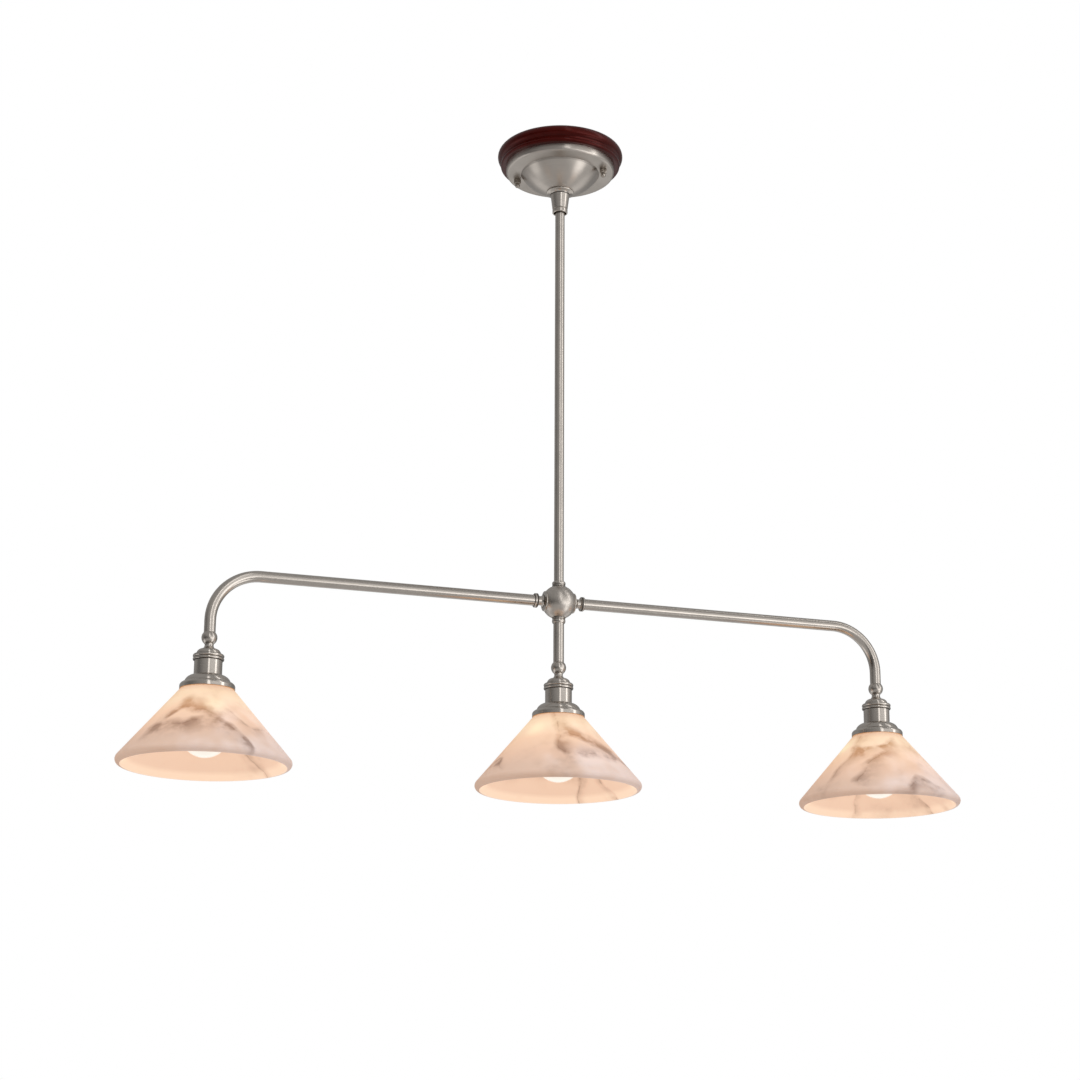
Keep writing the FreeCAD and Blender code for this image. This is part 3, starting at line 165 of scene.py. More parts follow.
class Graph:
    """The shader nodes of one material or of the world."""

    def __init__(self, tree: bpy.types.NodeTree) -> None:
        """Start from an empty graph.

        Args:
            tree: the node tree to fill.
        """
        self.tree = tree
        tree.nodes.clear()

    def add(
        self,
        kind: str,
        settings: Optional[Mapping[str, object]] = None,
        values: Optional[Mapping[Union[str, int], object]] = None,
        stops: Stops = (),
    ) -> bpy.types.Node:
        """Add any node.

        Args:
            kind: the node's type without its ShaderNode prefix.
            settings: the node's own settings, set first.
            values: numbers, colours or signals for its inputs, by name or number.
            stops: positions and colours of a ramp.

        Returns:
            The new node.
        """
        node = self.tree.nodes.new("ShaderNode" + kind)
        for key, setting in (settings or {}).items():
            setattr(node, key, setting)
        if stops:
            elements = node.color_ramp.elements
            while len(elements) < len(stops):
                elements.new(1.0)
            for element, (position, colour) in zip(elements, stops):
                element.position = position
                element.color = (*colour, 1.0)
        for key, value in (values or {}).items():
            socket = node.inputs[key]
            if isinstance(value, Signal):
                self.tree.links.new(value.socket, socket)
            elif isinstance(value, tuple) and socket.type == "RGBA":
                socket.default_value = (*value, 1.0)
            else:
                socket.default_value = value
        return node

    def out(self, node: bpy.types.Node, name: Union[str, int] = 0) -> Signal:
        """The signal of a node's output."""
        return Signal(self, node.outputs[name])

    def maths(self, operation: str, *values: Value) -> Signal:
        """A Math node on one or two signals or numbers."""
        return self.out(self.add("Math", {"operation": operation}, dict(enumerate(values))))

    def vector_maths(self, operation: str, *values: object) -> Signal:
        """A Vector Math node on vectors."""
        return self.out(self.add("VectorMath", {"operation": operation}, dict(enumerate(values))))

    def mix(self, share: Value, first: object, second: object) -> Signal:
        """Lay one colour over another.

        Args:
            share: how much of the second colour there is, from 0 to 1.
            first: colour or signal.
            second: colour or signal.

        Returns:
            The mixed colour.
        """
        values = dict(zip(MIX_INPUTS, (share, first, second)))
        return self.out(self.add("Mix", {"data_type": "RGBA"}, values), MIX_OUTPUT)

    def tinted(self, first: object, second: object) -> Signal:
        """Product of two colours."""
        return self.vector_maths("MULTIPLY", first, second)

    def ramp(self, value: Signal, stops: Stops, curve: Curve = Curve.STRAIGHT) -> Signal:
        """A colour read from a ramp.

        Args:
            value: where on the ramp, from 0 to 1.
            stops: positions and colours.
            curve: how it goes from stop to stop.

        Returns:
            The colour.
        """
        node = self.add("ValToRGB", None, {0: value}, stops)
        node.color_ramp.interpolation = curve.value
        return self.out(node)

    def noise(self, vector: Signal, scale: float, detail: float = 2.0, **more: object) -> Signal:
        """Smooth random values, by the place in space.

        Args:
            vector: the place.
            scale: how many waves there are in a metre.
            detail: how many finer layers it has.
            more: other inputs of the node, by lower-case name.

        Returns:
            Values round one half.
        """
        values = {"Vector": vector, "Scale": scale, "Detail": detail}
        values.update({key.title(): value for key, value in more.items()})
        settings = {"noise_dimensions": "4D"} if "w" in more else {}
        return self.out(self.add("TexNoise", settings, values))

    def mapped(
        self, vector: Signal, angles: Sequence[float], shift: Sequence[float] = ORIGIN
    ) -> Signal:
        """A vector turned and then moved.

        Args:
            vector: the vector.
            angles: rotation about X, Y and Z, in radians.
            shift: what is added after that.

        Returns:
            The new vector.
        """
        values = {"Vector": vector, "Rotation": angles, "Location": shift}
        return self.out(self.add("Mapping", {"vector_type": "POINT"}, values))

    def place(self, centre: Triple = ORIGIN, turn: Triple = ORIGIN) -> Signal:
        """Object coordinates about a centre.

        Args:
            centre: the point that becomes zero.
            turn: rotation in degrees about X, Y and Z after that.

        Returns:
            The place as a vector.
        """
        angles = [math.radians(angle) for angle in turn]
        shift = -(Euler(angles).to_matrix() @ Vector(centre))
        return self.mapped(self.out(self.add("TexCoord"), "Object"), angles, shift)

    def seen(self) -> Signal:
        """1 on rays that the camera sees by, also through glass, and 0 on all others."""
        rays = self.add("LightPath")
        return self.out(rays, "Is Camera Ray").at_least(self.out(rays, "Is Transmission Ray"))

    def split(self, vector: Signal) -> tuple[Signal, Signal, Signal]:
        """The three parts of a vector."""
        node = self.add("SeparateXYZ", None, {0: vector})
        return self.out(node, 0), self.out(node, 1), self.out(node, 2)

    def join(self, x: Value, y: Value, z: Value) -> Signal:
        """A vector of three parts."""
        return self.out(self.add("CombineXYZ", None, {0: x, 1: y, 2: z}))

    def bump(self, height: Signal, strength: float, depth: float) -> Signal:
        """A normal that follows a height.

        Args:
            height: the height, from 0 to 1.
            strength: how much of it shows.
            depth: the real height of 1, in metres.

        Returns:
            The bumped normal.
        """
        values = {"Height": height, "Strength": strength, "Distance": depth}
        return self.out(self.add("Bump", None, values))

    def surface(self, values: Mapping[str, object]) -> None:
        """Close the graph with one Principled shader with these inputs."""
        shader = self.out(self.add("BsdfPrincipled", None, values))
        self.add("OutputMaterial", None, {"Surface": shader})


class Lay(Enum):
    """Which way a metal's fine lines run."""

    ROUND = "round the local Z axis"
    ALONG = "along the local Z axis"


class Finish(ABC):
    """A finish that can be laid on a piece."""

    name: str

    @abstractmethod
    def shade(self, graph: Graph) -> None:
        """Fill the graph of this finish's material."""

    def material(self) -> bpy.types.Material:
        """Make the material once.

        Returns:
            The material, new or made before under the same name.
        """
        known = bpy.data.materials.get(self.name)
        if known is not None:
            return known
        made = bpy.data.materials.new(self.name)
        made.use_nodes = True
        self.shade(Graph(made.node_tree))
        return made


@dataclass(frozen=True)
class WorkedMetal(Finish):
    """Metal with fine lines from turning, brushing or drawing.

    Attributes:
        name: the material's name.
        colour: colour of the bare metal.
        roughness: mean roughness.
        centre: a point on the piece's axis.
        turn: degrees that bring the piece's axis onto local Z.
        lay: which way the lines run.
        grain: lines in a metre.
        drawn: waves in a metre along the lines of a drawn tube.
        line_depth: height of the lines, in metres.
        line_relief: how much of that height shows.
        line_tint: how far a line takes the colour of a groove.
        groove: what a groove leaves of the colour.
        stretch: how far the lines draw out what the metal mirrors, from 0 to 1.
        stretch_way: which way they draw it, in full turns.
        smudges: smudges in a metre.
        worn: what a smudge leaves of the colour.
        seams: painted shade in the joints between parts, each as its place along
            the axis, its half width and how dark it is.
        seam_edge: where a seam's painted shade begins to fade and where it is gone, in its half
            widths.
        dark: colour of the painted shade in the joints.
        painted_shade_cover: how far the painted shade takes that colour.
        dark_rough: what the painted shade in a joint adds to the roughness.
    """

    name: str
    colour: Colour = (0.60, 0.548, 0.495)
    roughness: float = 0.22
    centre: Triple = ORIGIN
    turn: Triple = ORIGIN
    lay: Lay = Lay.ROUND
    grain: float = 2600.0
    drawn: float = 6.0
    line_depth: float = 0.006 * MM
    line_relief: float = 0.15
    line_tint: float = 0.12
    groove: float = 0.45
    stretch: float = 0.0
    stretch_way: float = 0.25
    smudges: float = 38.0
    worn: float = 0.92
    # painted shade in the joints between parts
    seams: tuple[Triple, ...] = ()
    seam_edge: tuple[float, float] = (0.6, 1.4)
    dark: Colour = (0.022, 0.018, 0.015)
    painted_shade_cover: float = 0.92
    dark_rough: float = 0.25

    def lines(self, graph: Graph, place: Signal) -> Signal:
        """The fine lines of the metal's working.

        Args:
            graph: the material's graph.
            place: the place about the piece's axis.

        Returns:
            Values round one half.
        """
        x, y, z = graph.split(place)
        if self.lay is Lay.ALONG:
            along = graph.join(x * self.grain, y * self.grain, z * self.drawn)
            return graph.noise(along, 1.0, 3.0)
        reach = graph.maths("SQRT", x * x + y * y + TINY)
        along = graph.join(x / reach, y / reach, z * self.grain)
        return graph.noise(along, 1.0, 3.0, w=reach * self.grain)

    def joint(self, z: Signal) -> Signal:
        """How deep each place lies in the painted shade of a joint.

        Args:
            z: the place along the axis.

        Returns:
            0 outside the joints, up to 1 in the darkest.
        """
        first, last = self.seam_edge
        marks = [
            abs(z - level).rise(first * half, last * half, depth, 0.0)
            for level, half, depth in self.seams
        ]
        return sum(marks[1:], marks[0]).at_most(1.0)

    def shade(self, graph: Graph) -> None:
        """Lines, faint smudges and painted shade in the joints on bare metal.

        Args:
            graph: the material's graph.
        """
        place = graph.place(self.centre, self.turn)
        lines = self.lines(graph, place)
        smudges = graph.noise(place, self.smudges, 3.0)
        groove = dimmed(self.colour, self.groove)
        tint = graph.mix(smudges.rise(0.35, 0.75), self.colour, dimmed(self.colour, self.worn))
        tint = graph.mix(lines.rise(0.3, 0.7, 0.0, self.line_tint), tint, groove)
        rough = self.roughness + (lines - 0.5) * 0.05 + (smudges - 0.5) * 0.06
        # painted shade: the joints between parts are darkened in the colour and made rougher
        if self.seams:
            joint = self.joint(graph.split(place)[2])
            tint = graph.mix(joint * self.painted_shade_cover, tint, self.dark)
            rough = rough + joint * self.dark_rough
        graph.surface(
            {
                "Base Color": tint,
                "Metallic": 1.0,
                "Roughness": rough,
                "Anisotropic": self.stretch,
                "Anisotropic Rotation": self.stretch_way,
                "Normal": graph.bump(lines, self.line_relief, self.line_depth),
            }
        )


@dataclass(frozen=True)
class StainedMahogany(Finish):
    """Turned mahogany, stained dark red and lacquered.

    Attributes:
        name: the material's name.
        dark: colour in the grain's pores.
        light: colour between them.
        shine: colour of what the stained wood mirrors.
        lacquer: weight of the clear lacquer's own shine.
        rings: growth rings across the grain, in radians for a metre.
        lean: how far the rings lean over with height.
        sway: how far they wander, in metres.
        streaks: streaks in a metre along X, Y and Z.
        pores: pores in a metre along X, Y and Z.
        pore_depth: their depth, in metres.
    """

    name: str = "stained_mahogany"
    dark: Colour = (0.016, 0.0010, 0.0008)
    light: Colour = (0.048, 0.0035, 0.0022)
    shine: Colour = (0.95, 0.12, 0.09)
    lacquer: float = 0.12
    rings: float = 620.0
    lean: float = 0.45
    sway: float = 12.0 * MM
    streaks: Triple = (9.0, 300.0, 300.0)
    pores: Triple = (60.0, 1500.0, 1500.0)
    pore_depth: float = 0.06 * MM

    def shade(self, graph: Graph) -> None:
        """Straight grain along X with long fine pores under clear lacquer.

        Args:
            graph: the material's graph.
        """
        place = graph.place()
        _, y, z = graph.split(place)
        wander = graph.noise(place, 14.0, 2.0) * self.sway
        rings = graph.maths("SINE", (y + z * self.lean + wander) * self.rings) * 0.5 + 0.5
        streaks = graph.noise(graph.vector_maths("MULTIPLY", place, self.streaks), 1.0, 4.0)
        pores = graph.noise(graph.vector_maths("MULTIPLY", place, self.pores), 1.0, 2.0)
        lightness = rings * 0.06 + streaks * 0.40 + 0.27
        tint = graph.mix(lightness.rise(0.10, 1.0), self.dark, self.light)
        tint = graph.mix(pores.rise(0.60, 0.74, 0.0, 0.4), tint, self.dark)
        relief = pores.rise(0.55, 0.75, 1.0, 0.0)
        graph.surface(
            {
                "Base Color": tint,
                "Roughness": 0.24 + streaks * 0.08,
                "Specular IOR Level": 0.4,
                "Specular Tint": self.shine,
                "Coat Weight": self.lacquer,
                "Coat Roughness": 0.05,
                "Coat IOR": 1.5,
                "Normal": graph.bump(relief, 0.12, self.pore_depth),
            }
        )


class Run(Enum):
    """Which way a vein runs over a shade."""

    ROUND = "round the shade"
    DOWN = "down the slope"


@dataclass(frozen=True)
class Vein:
    """One vein in a shade, as it shows on the slope.

    Attributes:
        run: which way it runs.
        line: half width of its dark line, in millimetres.
        smoke: width of the smoke beside it, in millimetres, less than 0 for the lower or left
            side.
        haze: how dense the smoke is.
        path: points of it, each as how far along, how far across and how strong. The one is
            degrees to the right of the front and the other is height, from 0 at the rim to 1
            at the top: round the shade degrees come first, and down the slope height does.
    """

    run: Run
    line: float
    smoke: float
    haze: float
    path: tuple[Triple, ...]


# The lamp's light in the stone, by height from the rim at 0 to the top at 1.
OUTSIDE_GLOW: Stops = (
    (0.0, (0.270, 0.130, 0.060)),
    (0.15, (0.300, 0.145, 0.065)),
    (0.35, (0.400, 0.195, 0.085)),
    (0.60, (0.510, 0.275, 0.120)),
    (0.80, (0.570, 0.380, 0.195)),
    (0.90, (0.540, 0.345, 0.160)),
    (1.0, (0.400, 0.170, 0.045)),
)
INSIDE_GLOW: Stops = (
    (0.0, (0.70, 0.47, 0.31)),
    (0.06, (0.58, 0.355, 0.225)),
    (0.5, (0.60, 0.37, 0.235)),
    (1.0, (0.66, 0.46, 0.27)),
)


@dataclass(frozen=True)
class VeinedAlabaster(Finish):
    """Pale alabaster with smoky veins, glowing from the lamp inside.

    Attributes:
        name: the material's name.
        centre: centre of the light's end ball.
        front: degrees about Z that turn the side that faces the camera to the front.
        shift: where in the block this shade was cut.
        veins: the veins that show.
        patch: degrees, height and radius in millimetres of the brightest patch.
        rim: depth of the widest circle below the centre.
        top: depth of the shade's top below the centre.
        rim_r: radius at the rim, in millimetres.
        taper: how much less it is at the top.
        slope: length of the slope, in millimetres.
        sway: how far the veins wander over their courses, in millimetres.
        spread: how much wider than its vein says the smoke is where it ends.
        line_cover: how much of a dark line shows.
        pale: colour of the clear stone.
        cool: its paler, cooler colour in clouds near the rim, more of them on the side to the
            camera's right.
        bright: glow of the brightest patch.
        smoke: what the smoke leaves of the colour near the rim.
        ember: what it leaves near the top, where the glow is warm.
        line: what a vein's dark line leaves.
    """

    name: str
    centre: Triple
    front: float
    shift: Triple
    veins: tuple[Vein, ...]
    patch: Triple
    rim: float = 145.6 * MM
    top: float = 61.4 * MM
    rim_r: float = 100.0
    taper: float = 69.0
    slope: float = 109.0
    sway: float = 13.0
    spread: float = 1.35
    line_cover: float = 0.42
    pale: Colour = (0.45, 0.385, 0.345)
    cool: Colour = (0.57, 0.55, 0.56)
    bright: Colour = (0.72, 0.64, 0.34)
    smoke: Colour = (0.50, 0.44, 0.41)
    ember: Colour = (0.62, 0.47, 0.36)
    line: Colour = (0.42, 0.32, 0.26)

    def follow(
        self, graph: Graph, vein: Vein, turn: Signal, height: Signal
    ) -> tuple[Signal, Signal]:
        """How far each place is from a vein, and how strong the vein is beside it.

        Args:
            graph: the material's graph.
            vein: the vein.
            turn: share of a full turn, one half at the front.
            height: height from 0 at the rim to 1 at the top.

        Returns:
            The distance in millimetres, above or to the right of it more than 0, and the
            strength.
        """
        if vein.run is Run.ROUND:
            stops = [(turn_share(way), (up, strong, 0.0)) for way, up, strong in vein.path]
            up, strength, _ = graph.split(graph.ramp(turn, stops, Curve.SMOOTH))
            return (height - up) * self.slope, strength.at_least(0.0)
        stops = [(up, (turn_share(way), strong, 0.0)) for up, way, strong in vein.path]
        way, strength, _ = graph.split(graph.ramp(height, stops, Curve.SMOOTH))
        round_mm = (self.rim_r - height * self.taper) * math.tau
        return (turn - way) * round_mm, strength.at_least(0.0)

    def veil(
        self, graph: Graph, stone: Signal, mottle: Signal, turn: Signal, height: Signal
    ) -> Signal:
        """What smoke and dark lines leave of the stone's colour.

        Args:
            graph: the material's graph.
            stone: the place in the block.
            mottle: values round one half that break up the veins.
            turn: share of a full turn, one half at the front.
            height: height from 0 at the rim to 1 at the top.

        Returns:
            The veil's colour, white where the stone is clear.
        """
        sway = (graph.noise(stone, 50.0, 4.0, roughness=0.5) - 0.5) * self.sway
        smoke = graph.noise(stone, 17.0, 3.0, roughness=0.55).rise(0.50, 0.80, 0.0, 0.38)
        line: Value = 0.0
        for vein in self.veins:
            off, strength = self.follow(graph, vein, turn, height)
            off = off + sway
            side = off / (self.spread * vein.smoke)
            beside = side.rise(-0.35, 0.03) * (1.0 - side.rise(-0.4, 1.0))
            smoke = smoke + beside * strength * vein.haze
            line = line + abs(off).rise(0.2 * vein.line, 3.2 * vein.line, 1.0, 0.0) * strength
        smoke = (smoke * mottle.rise(0.32, 0.62, 0.45, 1.5)).at_most(1.0)
        line = (line * mottle.rise(0.40, 0.60, 0.08, 1.0)).at_most(1.0)
        smoky = graph.mix(height.rise(0.35, 0.70), self.smoke, self.ember)
        veil = graph.mix(smoke, WHITE, smoky)
        return graph.mix(line * self.line_cover, veil, graph.tinted(veil, self.line))

    def inside(self, graph: Graph) -> Signal:
        """Which faces look to the shade's axis.

        Args:
            graph: the material's graph.

        Returns:
            1 on those faces, 0 on the others.
        """
        x, y, _ = graph.split(graph.place(self.centre))
        to_x, to_y, _ = graph.split(graph.out(graph.add("TexCoord"), "Normal"))
        return (to_x * x + to_y * y) < 0.0

    def glow(self, graph: Graph, turn: Signal, height: Signal, inside: Signal) -> Signal:
        """The lamp's light in the stone, strongest in the bright patch outside.

        Args:
            graph: the material's graph.
            turn: share of a full turn, one half at the front.
            height: height from 0 at the rim to 1 at the top.
            inside: 1 on the faces inside the shade.

        Returns:
            The light's colour.
        """
        turn_at, height_at, reach = self.patch
        across = (turn - turn_share(turn_at)) * (self.rim_r - self.taper * height_at) * math.tau
        up = (height - height_at) * self.slope
        near = graph.maths("SQRT", across * across + up * up).rise(0.0, reach, 0.45, 0.0)
        outside = graph.mix(near, graph.ramp(height, OUTSIDE_GLOW), self.bright)
        return graph.mix(inside, outside, graph.ramp(height, INSIDE_GLOW))

    def shade(self, graph: Graph) -> None:
        """Clouds, veins with smoke on one side, and a glow that is warmest at the top.

        Args:
            graph: the material's graph.
        """
        place = graph.place(self.centre, (0.0, 0.0, self.front))
        x, y, z = graph.split(place)
        stone = graph.vector_maths("ADD", place, self.shift)
        turn = graph.maths("ARCTAN2", x, -y) / math.tau + 0.5
        height = (z + self.rim) / (self.rim - self.top)
        mottle = graph.noise(stone, 48.0, 3.0, roughness=0.55)
        fine = graph.noise(stone, 420.0, 3.0)
        veil = self.veil(graph, stone, mottle, turn, height)
        inside = self.inside(graph)
        glow = self.glow(graph, turn, height, inside)
        clouds = graph.noise(stone, 22.0, 2.0)
        # paler, cooler clouds outside, more of them low down and on the side to the camera's right
        chill = (clouds + x * 4.0).rise(0.40, 0.80) * height.rise(0.40, 1.0, 1.0, 0.0)
        ground = graph.mix(chill * (1.0 - inside), self.pale, self.cool)
        graph.surface(
            {
                "Base Color": graph.tinted(veil, ground),
                "Roughness": 0.34 + fine * 0.1,
                "Specular IOR Level": 0.30,
                "Subsurface Weight": 0.12,
                "Subsurface Radius": (0.012, 0.008, 0.006),
                "Subsurface Scale": 1.0,
                "Emission Color": graph.tinted(veil, glow),
                "Emission Strength": 1.0,
                "Normal": graph.bump(mottle, 0.05, 0.2 * MM),
            }
        )


@dataclass(frozen=True)
class LitOpalGlass(Finish):
    """Opal glass of a lamp that is switched on.

    Attributes:
        name: the material's name.
        centre: centre of the light's end ball.
        ball: depth of the widest part of the glass.
        reach: its radius.
        milk: colour of the glass without its light.
        cloud: its colour in the faint clouds.
        glow: colours of the light, from the bottom of the ball up to the neck.
        power: strength of the light.
    """

    name: str
    centre: Triple
    ball: float = 111.4 * MM
    reach: float = 29.0 * MM
    milk: Colour = (0.42, 0.41, 0.39)
    cloud: Colour = (0.37, 0.36, 0.34)
    glow: Stops = (
        (0.0, (1.0, 0.93, 0.82)),
        (0.4, (1.0, 0.89, 0.74)),
        (0.8, (0.84, 0.66, 0.46)),
        (1.0, (0.62, 0.44, 0.27)),
    )
    power: float = 0.72

    def shade(self, graph: Graph) -> None:
        """Brightest over the ball, warmer and dimmer in the neck.

        Args:
            graph: the material's graph.
        """
        place = graph.place(self.centre)
        above = (graph.split(place)[2] + self.ball) / self.reach
        fine = graph.noise(place, 260.0, 2.0)
        graph.surface(
            {
                "Base Color": graph.mix(fine * 0.2, self.milk, self.cloud),
                "Roughness": 0.22 + fine * 0.08,
                "Coat Weight": 0.4,
                "Emission Color": graph.ramp(above * 0.35 + 0.45, self.glow),
                "Emission Strength": self.power,
            }
        )


@dataclass(frozen=True)
class GlazedPorcelain(Finish):
    """White glazed porcelain with faint specks.

    Attributes:
        name: the material's name.
        colour: colour under the glaze.
        speck: colour of the specks.
    """

    name: str = "glazed_porcelain"
    colour: Colour = (0.74, 0.72, 0.67)
    speck: Colour = (0.42, 0.37, 0.30)

    def shade(self, graph: Graph) -> None:
        """Even white with small specks and a faint orange-peel glaze.

        Args:
            graph: the material's graph.
        """
        place = graph.place()
        specks = graph.noise(place, 900.0, 2.0).rise(0.68, 0.78, 0.0, 0.35)
        wave = graph.noise(place, 120.0, 2.0)
        graph.surface(
            {
                "Base Color": graph.mix(specks, self.colour, self.speck),
                "Roughness": 0.22 + wave * 0.1,
                "Coat Weight": 0.8,
                "Coat Roughness": 0.06,
                "Normal": graph.bump(wave, 0.15, 0.3 * MM),
            }
        )


@dataclass(frozen=True)
class MouldedPlastic(Finish):
    """Moulded plastic or an extruded sleeve with a fine matt texture.

    Attributes:
        name: the material's name.
        colour: colour of the plastic.
        roughness: mean roughness.
    """

    name: str
    colour: Colour
    roughness: float = 0.42

    def shade(self, graph: Graph) -> None:
        """One colour with slight scuffs and a fine texture.

        Args:
            graph: the material's graph.
        """
        place = graph.place()
        grain = graph.noise(place, 2200.0, 2.0)
        scuffs = graph.noise(place, 140.0, 4.0)
        worn = tuple(min(1.0, c * 1.25 + 0.02) for c in self.colour)
        graph.surface(
            {
                "Base Color": graph.mix(scuffs.rise(0.45, 0.75, 0.0, 0.45), self.colour, worn),
                "Roughness": self.roughness + (scuffs - 0.5) * 0.2,
                "Normal": graph.bump(grain, 0.25, 0.08 * MM),
            }
        )


def dress(finish: Finish, *nodes: str) -> None:
    """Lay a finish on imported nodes.

    Args:
        finish: the finish.
        nodes: names of the nodes.
    """
    for node in nodes:
        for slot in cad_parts[node].material_slots:
            slot.material = finish.material()
        log.info("%s wears %s", node, finish.name)


def nickel(name: str, centre: Triple = ORIGIN, **more: object) -> WorkedMetal:
    """The pendant's satin nickel, about a centre."""
    return WorkedMetal("nickel_" + name, centre=centre, **more)


def turned_nickel(name: str, centre: Triple = ORIGIN, **more: object) -> WorkedMetal:
    """Satin nickel from the lathe, whose lines draw out what it mirrors."""
    return nickel(name, centre, stretch=0.8, **more)


ZINC = WorkedMetal("zinc_plate", (0.62, 0.61, 0.60), 0.32, grain=1500.0)
BRASS = WorkedMetal("raw_brass", (0.66, 0.45, 0.18), 0.28, grain=1500.0)
LEAD_SLEEVE = MouldedPlastic("lead_sleeve", (0.05, 0.05, 0.05))


@dataclass
class Canopy:
    """Ceiling plate, pan, swivel cup and what is wired up inside them.

    Attributes:
        crease: painted shade in a band under the pan's crease, as its level, its half width and
            how dark it is.
        collar_joint: the same painted shade in the collar ring's lower joint.
        mouth_band: the same painted shade in the cup's band.
        bar_angle: degrees from X to the crossbar.
    """

    crease: Triple = (-31.9 * MM, 0.9 * MM, 0.25)
    collar_joint: Triple = (-60.1 * MM, 0.3 * MM, 0.7)
    mouth_band: Triple = (-79.1 * MM, 0.25 * MM, 0.6)
    bar_angle: float = -33.0

    def dress(self) -> None:
        """Lay the finishes on the canopy's nodes."""
        dress(StainedMahogany(), "ceiling_plate")
        # painted shade in the pan's crease, the collar's lower joint and the cup's band
        dress(turned_nickel("pan", seams=(self.crease,), roughness=0.32), "canopy_pan")
        dress(turned_nickel("collar", seams=(self.collar_joint,)), "cup_collar")
        dress(turned_nickel("cup", seams=(self.mouth_band,)), "swivel_cup")
        # nickel darkened all over the knob: painted shade for the shade between its knurls
        dress(WorkedMetal("knurl_nickel_painted_shade", (0.46, 0.41, 0.36), 0.28, grain=1500.0), "canopy_knobs")
        along_bar = (0.0, 90.0, self.bar_angle)
        bar = WorkedMetal("zinc_bar", ZINC.colour, 0.34, turn=along_bar, lay=Lay.ALONG)
        dress(bar, "crossbar")
        dress(ZINC, "canopy_studs", "cup_washer")
        dress(BRASS, "cup_nut")
        dress(WorkedMetal("green_screw", (0.10, 0.30, 0.12), 0.35), "ground_screw")
        dress(MouldedPlastic("ground_sleeve", (0.03, 0.22, 0.05)), "ground_lead")
        dress(MouldedPlastic("core_sleeve", (0.75, 0.75, 0.72)), "canopy_leads")
        dress(MouldedPlastic("connector_nylon", (0.55, 0.16, 0.03), 0.36), "wire_connectors")


@dataclass
class Stem:
    """Swivel ball, down rod and hub.

    Attributes:
        hub: centre of the hub ball.
        seams: how far from the hub's centre the painted shade in the joints of a bell
            and an arm ring lies, and its half widths, in millimetres, with how dark it is.
        ring_seams: how far above the hub's centre the painted shade in the joints of its
            ring collars lies, in millimetres.
    """

    hub: Triple = HUB
    seams: tuple[Triple, ...] = ((20.4, 0.35, 0.95), (28.6, 1.0, 0.95), (31.9, 0.3, 0.7))
    ring_seams: tuple[float, ...] = (19.9, 21.6, -19.9, -21.6)

    def dress(self) -> None:
        """Lay the finishes on the nodes from the swivel to the hub."""
        dress(MouldedPlastic("seat_nylon", (0.55, 0.53, 0.48)), "seat_ring")
        dress(nickel("swivel"), "swivel_ball")
        dress(BRASS, "swivel_nipple", "nipple_nut", "hub_nipples")
        dress(turned_nickel("rod"), "down_rod")
        dress(nickel("hub", self.hub, roughness=0.34, stretch=0.3), "hub_ball")
        # painted shade in the joints of the ring collars
        rings = tuple((level * MM, 0.35 * MM, 0.9) for level in self.ring_seams)
        dress(turned_nickel("hub_rings", self.hub, seams=rings), "rod_collar", "drop_collar")
        # painted shade in the joints of the bells and arm rings
        seams = tuple(
            (side * reach * MM, half * MM, depth)
            for side in (-1, 1)
            for reach, half, depth in self.seams
        )
        bell = nickel("bell", self.hub, turn=X_ONTO_Z, seams=seams)
        dress(bell, "arm_bell_left", "arm_bell_right", "arm_rings")
        dress(LEAD_SLEEVE, "stem_lead")
        dress(MouldedPlastic("splice_nylon", (0.62, 0.60, 0.55)), "splice_block")


@dataclass
class Arms:
    """The two bent arm tubes and the straight drop tube.

    Attributes:
        hub: centre of the hub ball.
        grain: drawn lines in a metre round an arm tube.
    """

    hub: Triple = HUB
    grain: float = 1400.0

    def dress(self) -> None:
        """Lay the finishes on the tubes."""
        arm = nickel("arm", self.hub, turn=X_ONTO_Z, lay=Lay.ALONG, grain=self.grain)
        dress(arm, "arm_tube_left", "arm_tube_right")
        dress(turned_nickel("drop", self.hub), "drop_tube")


@dataclass
class Pendant:
    """One light, from its end ball to its lamp.

    Attributes:
        side: left, centre or right.
        front: degrees from -Y round to the side that faces the camera.
        shift: where in the block the shade was cut.
        patch: degrees, height and radius in millimetres of the shade's brightest patch.
        veins: the shade's veins.
        joints: painted shade in the joints and bead grooves, as depths below the ball's centre and
        half widths in millimetres, with how dark it is.
    """

    side: str
    front: float
    shift: Triple
    patch: Triple
    veins: tuple[Vein, ...]
    joints: tuple[Triple, ...] = (
        (13.7, 0.25, 0.6), (20.2, 0.45, 0.9), (23.8, 0.35, 0.8),
        (27.4, 0.5, 0.95), (45.1, 0.4, 0.8), (53.7, 0.3, 0.6),
    )

    @property
    def centre(self) -> Triple:
        """Centre of the end ball."""
        return LIGHT_SPOTS[self.side]

    def dress(self) -> None:
        """Lay the finishes on the light's nodes."""
        side = self.side
        # painted shade in the joints and grooves of the cap, sleeve and gallery
        seams = tuple((-depth * MM, half * MM, dark) for depth, half, dark in self.joints)
        covers = ("end_ball", "socket_cap", "socket_sleeve", "gallery")
        metal = turned_nickel(side, self.centre, seams=seams)
        dress(metal, *(f"{cover}_{side}" for cover in covers))
        stone = VeinedAlabaster(
            f"alabaster_{side}", self.centre, self.front, self.shift, self.veins, self.patch
        )
        dress(stone, f"shade_{side}")
        dress(LitOpalGlass(f"lit_glass_{side}", self.centre), f"lamp_glass_{side}")
        cap = WorkedMetal(f"lamp_cap_{side}", (0.72, 0.72, 0.72), 0.3, self.centre)
        dress(cap, f"lamp_cap_{side}")
        dress(GlazedPorcelain(), f"lampholder_{side}")
        dress(LEAD_SLEEVE, f"lamp_lead_{side}")


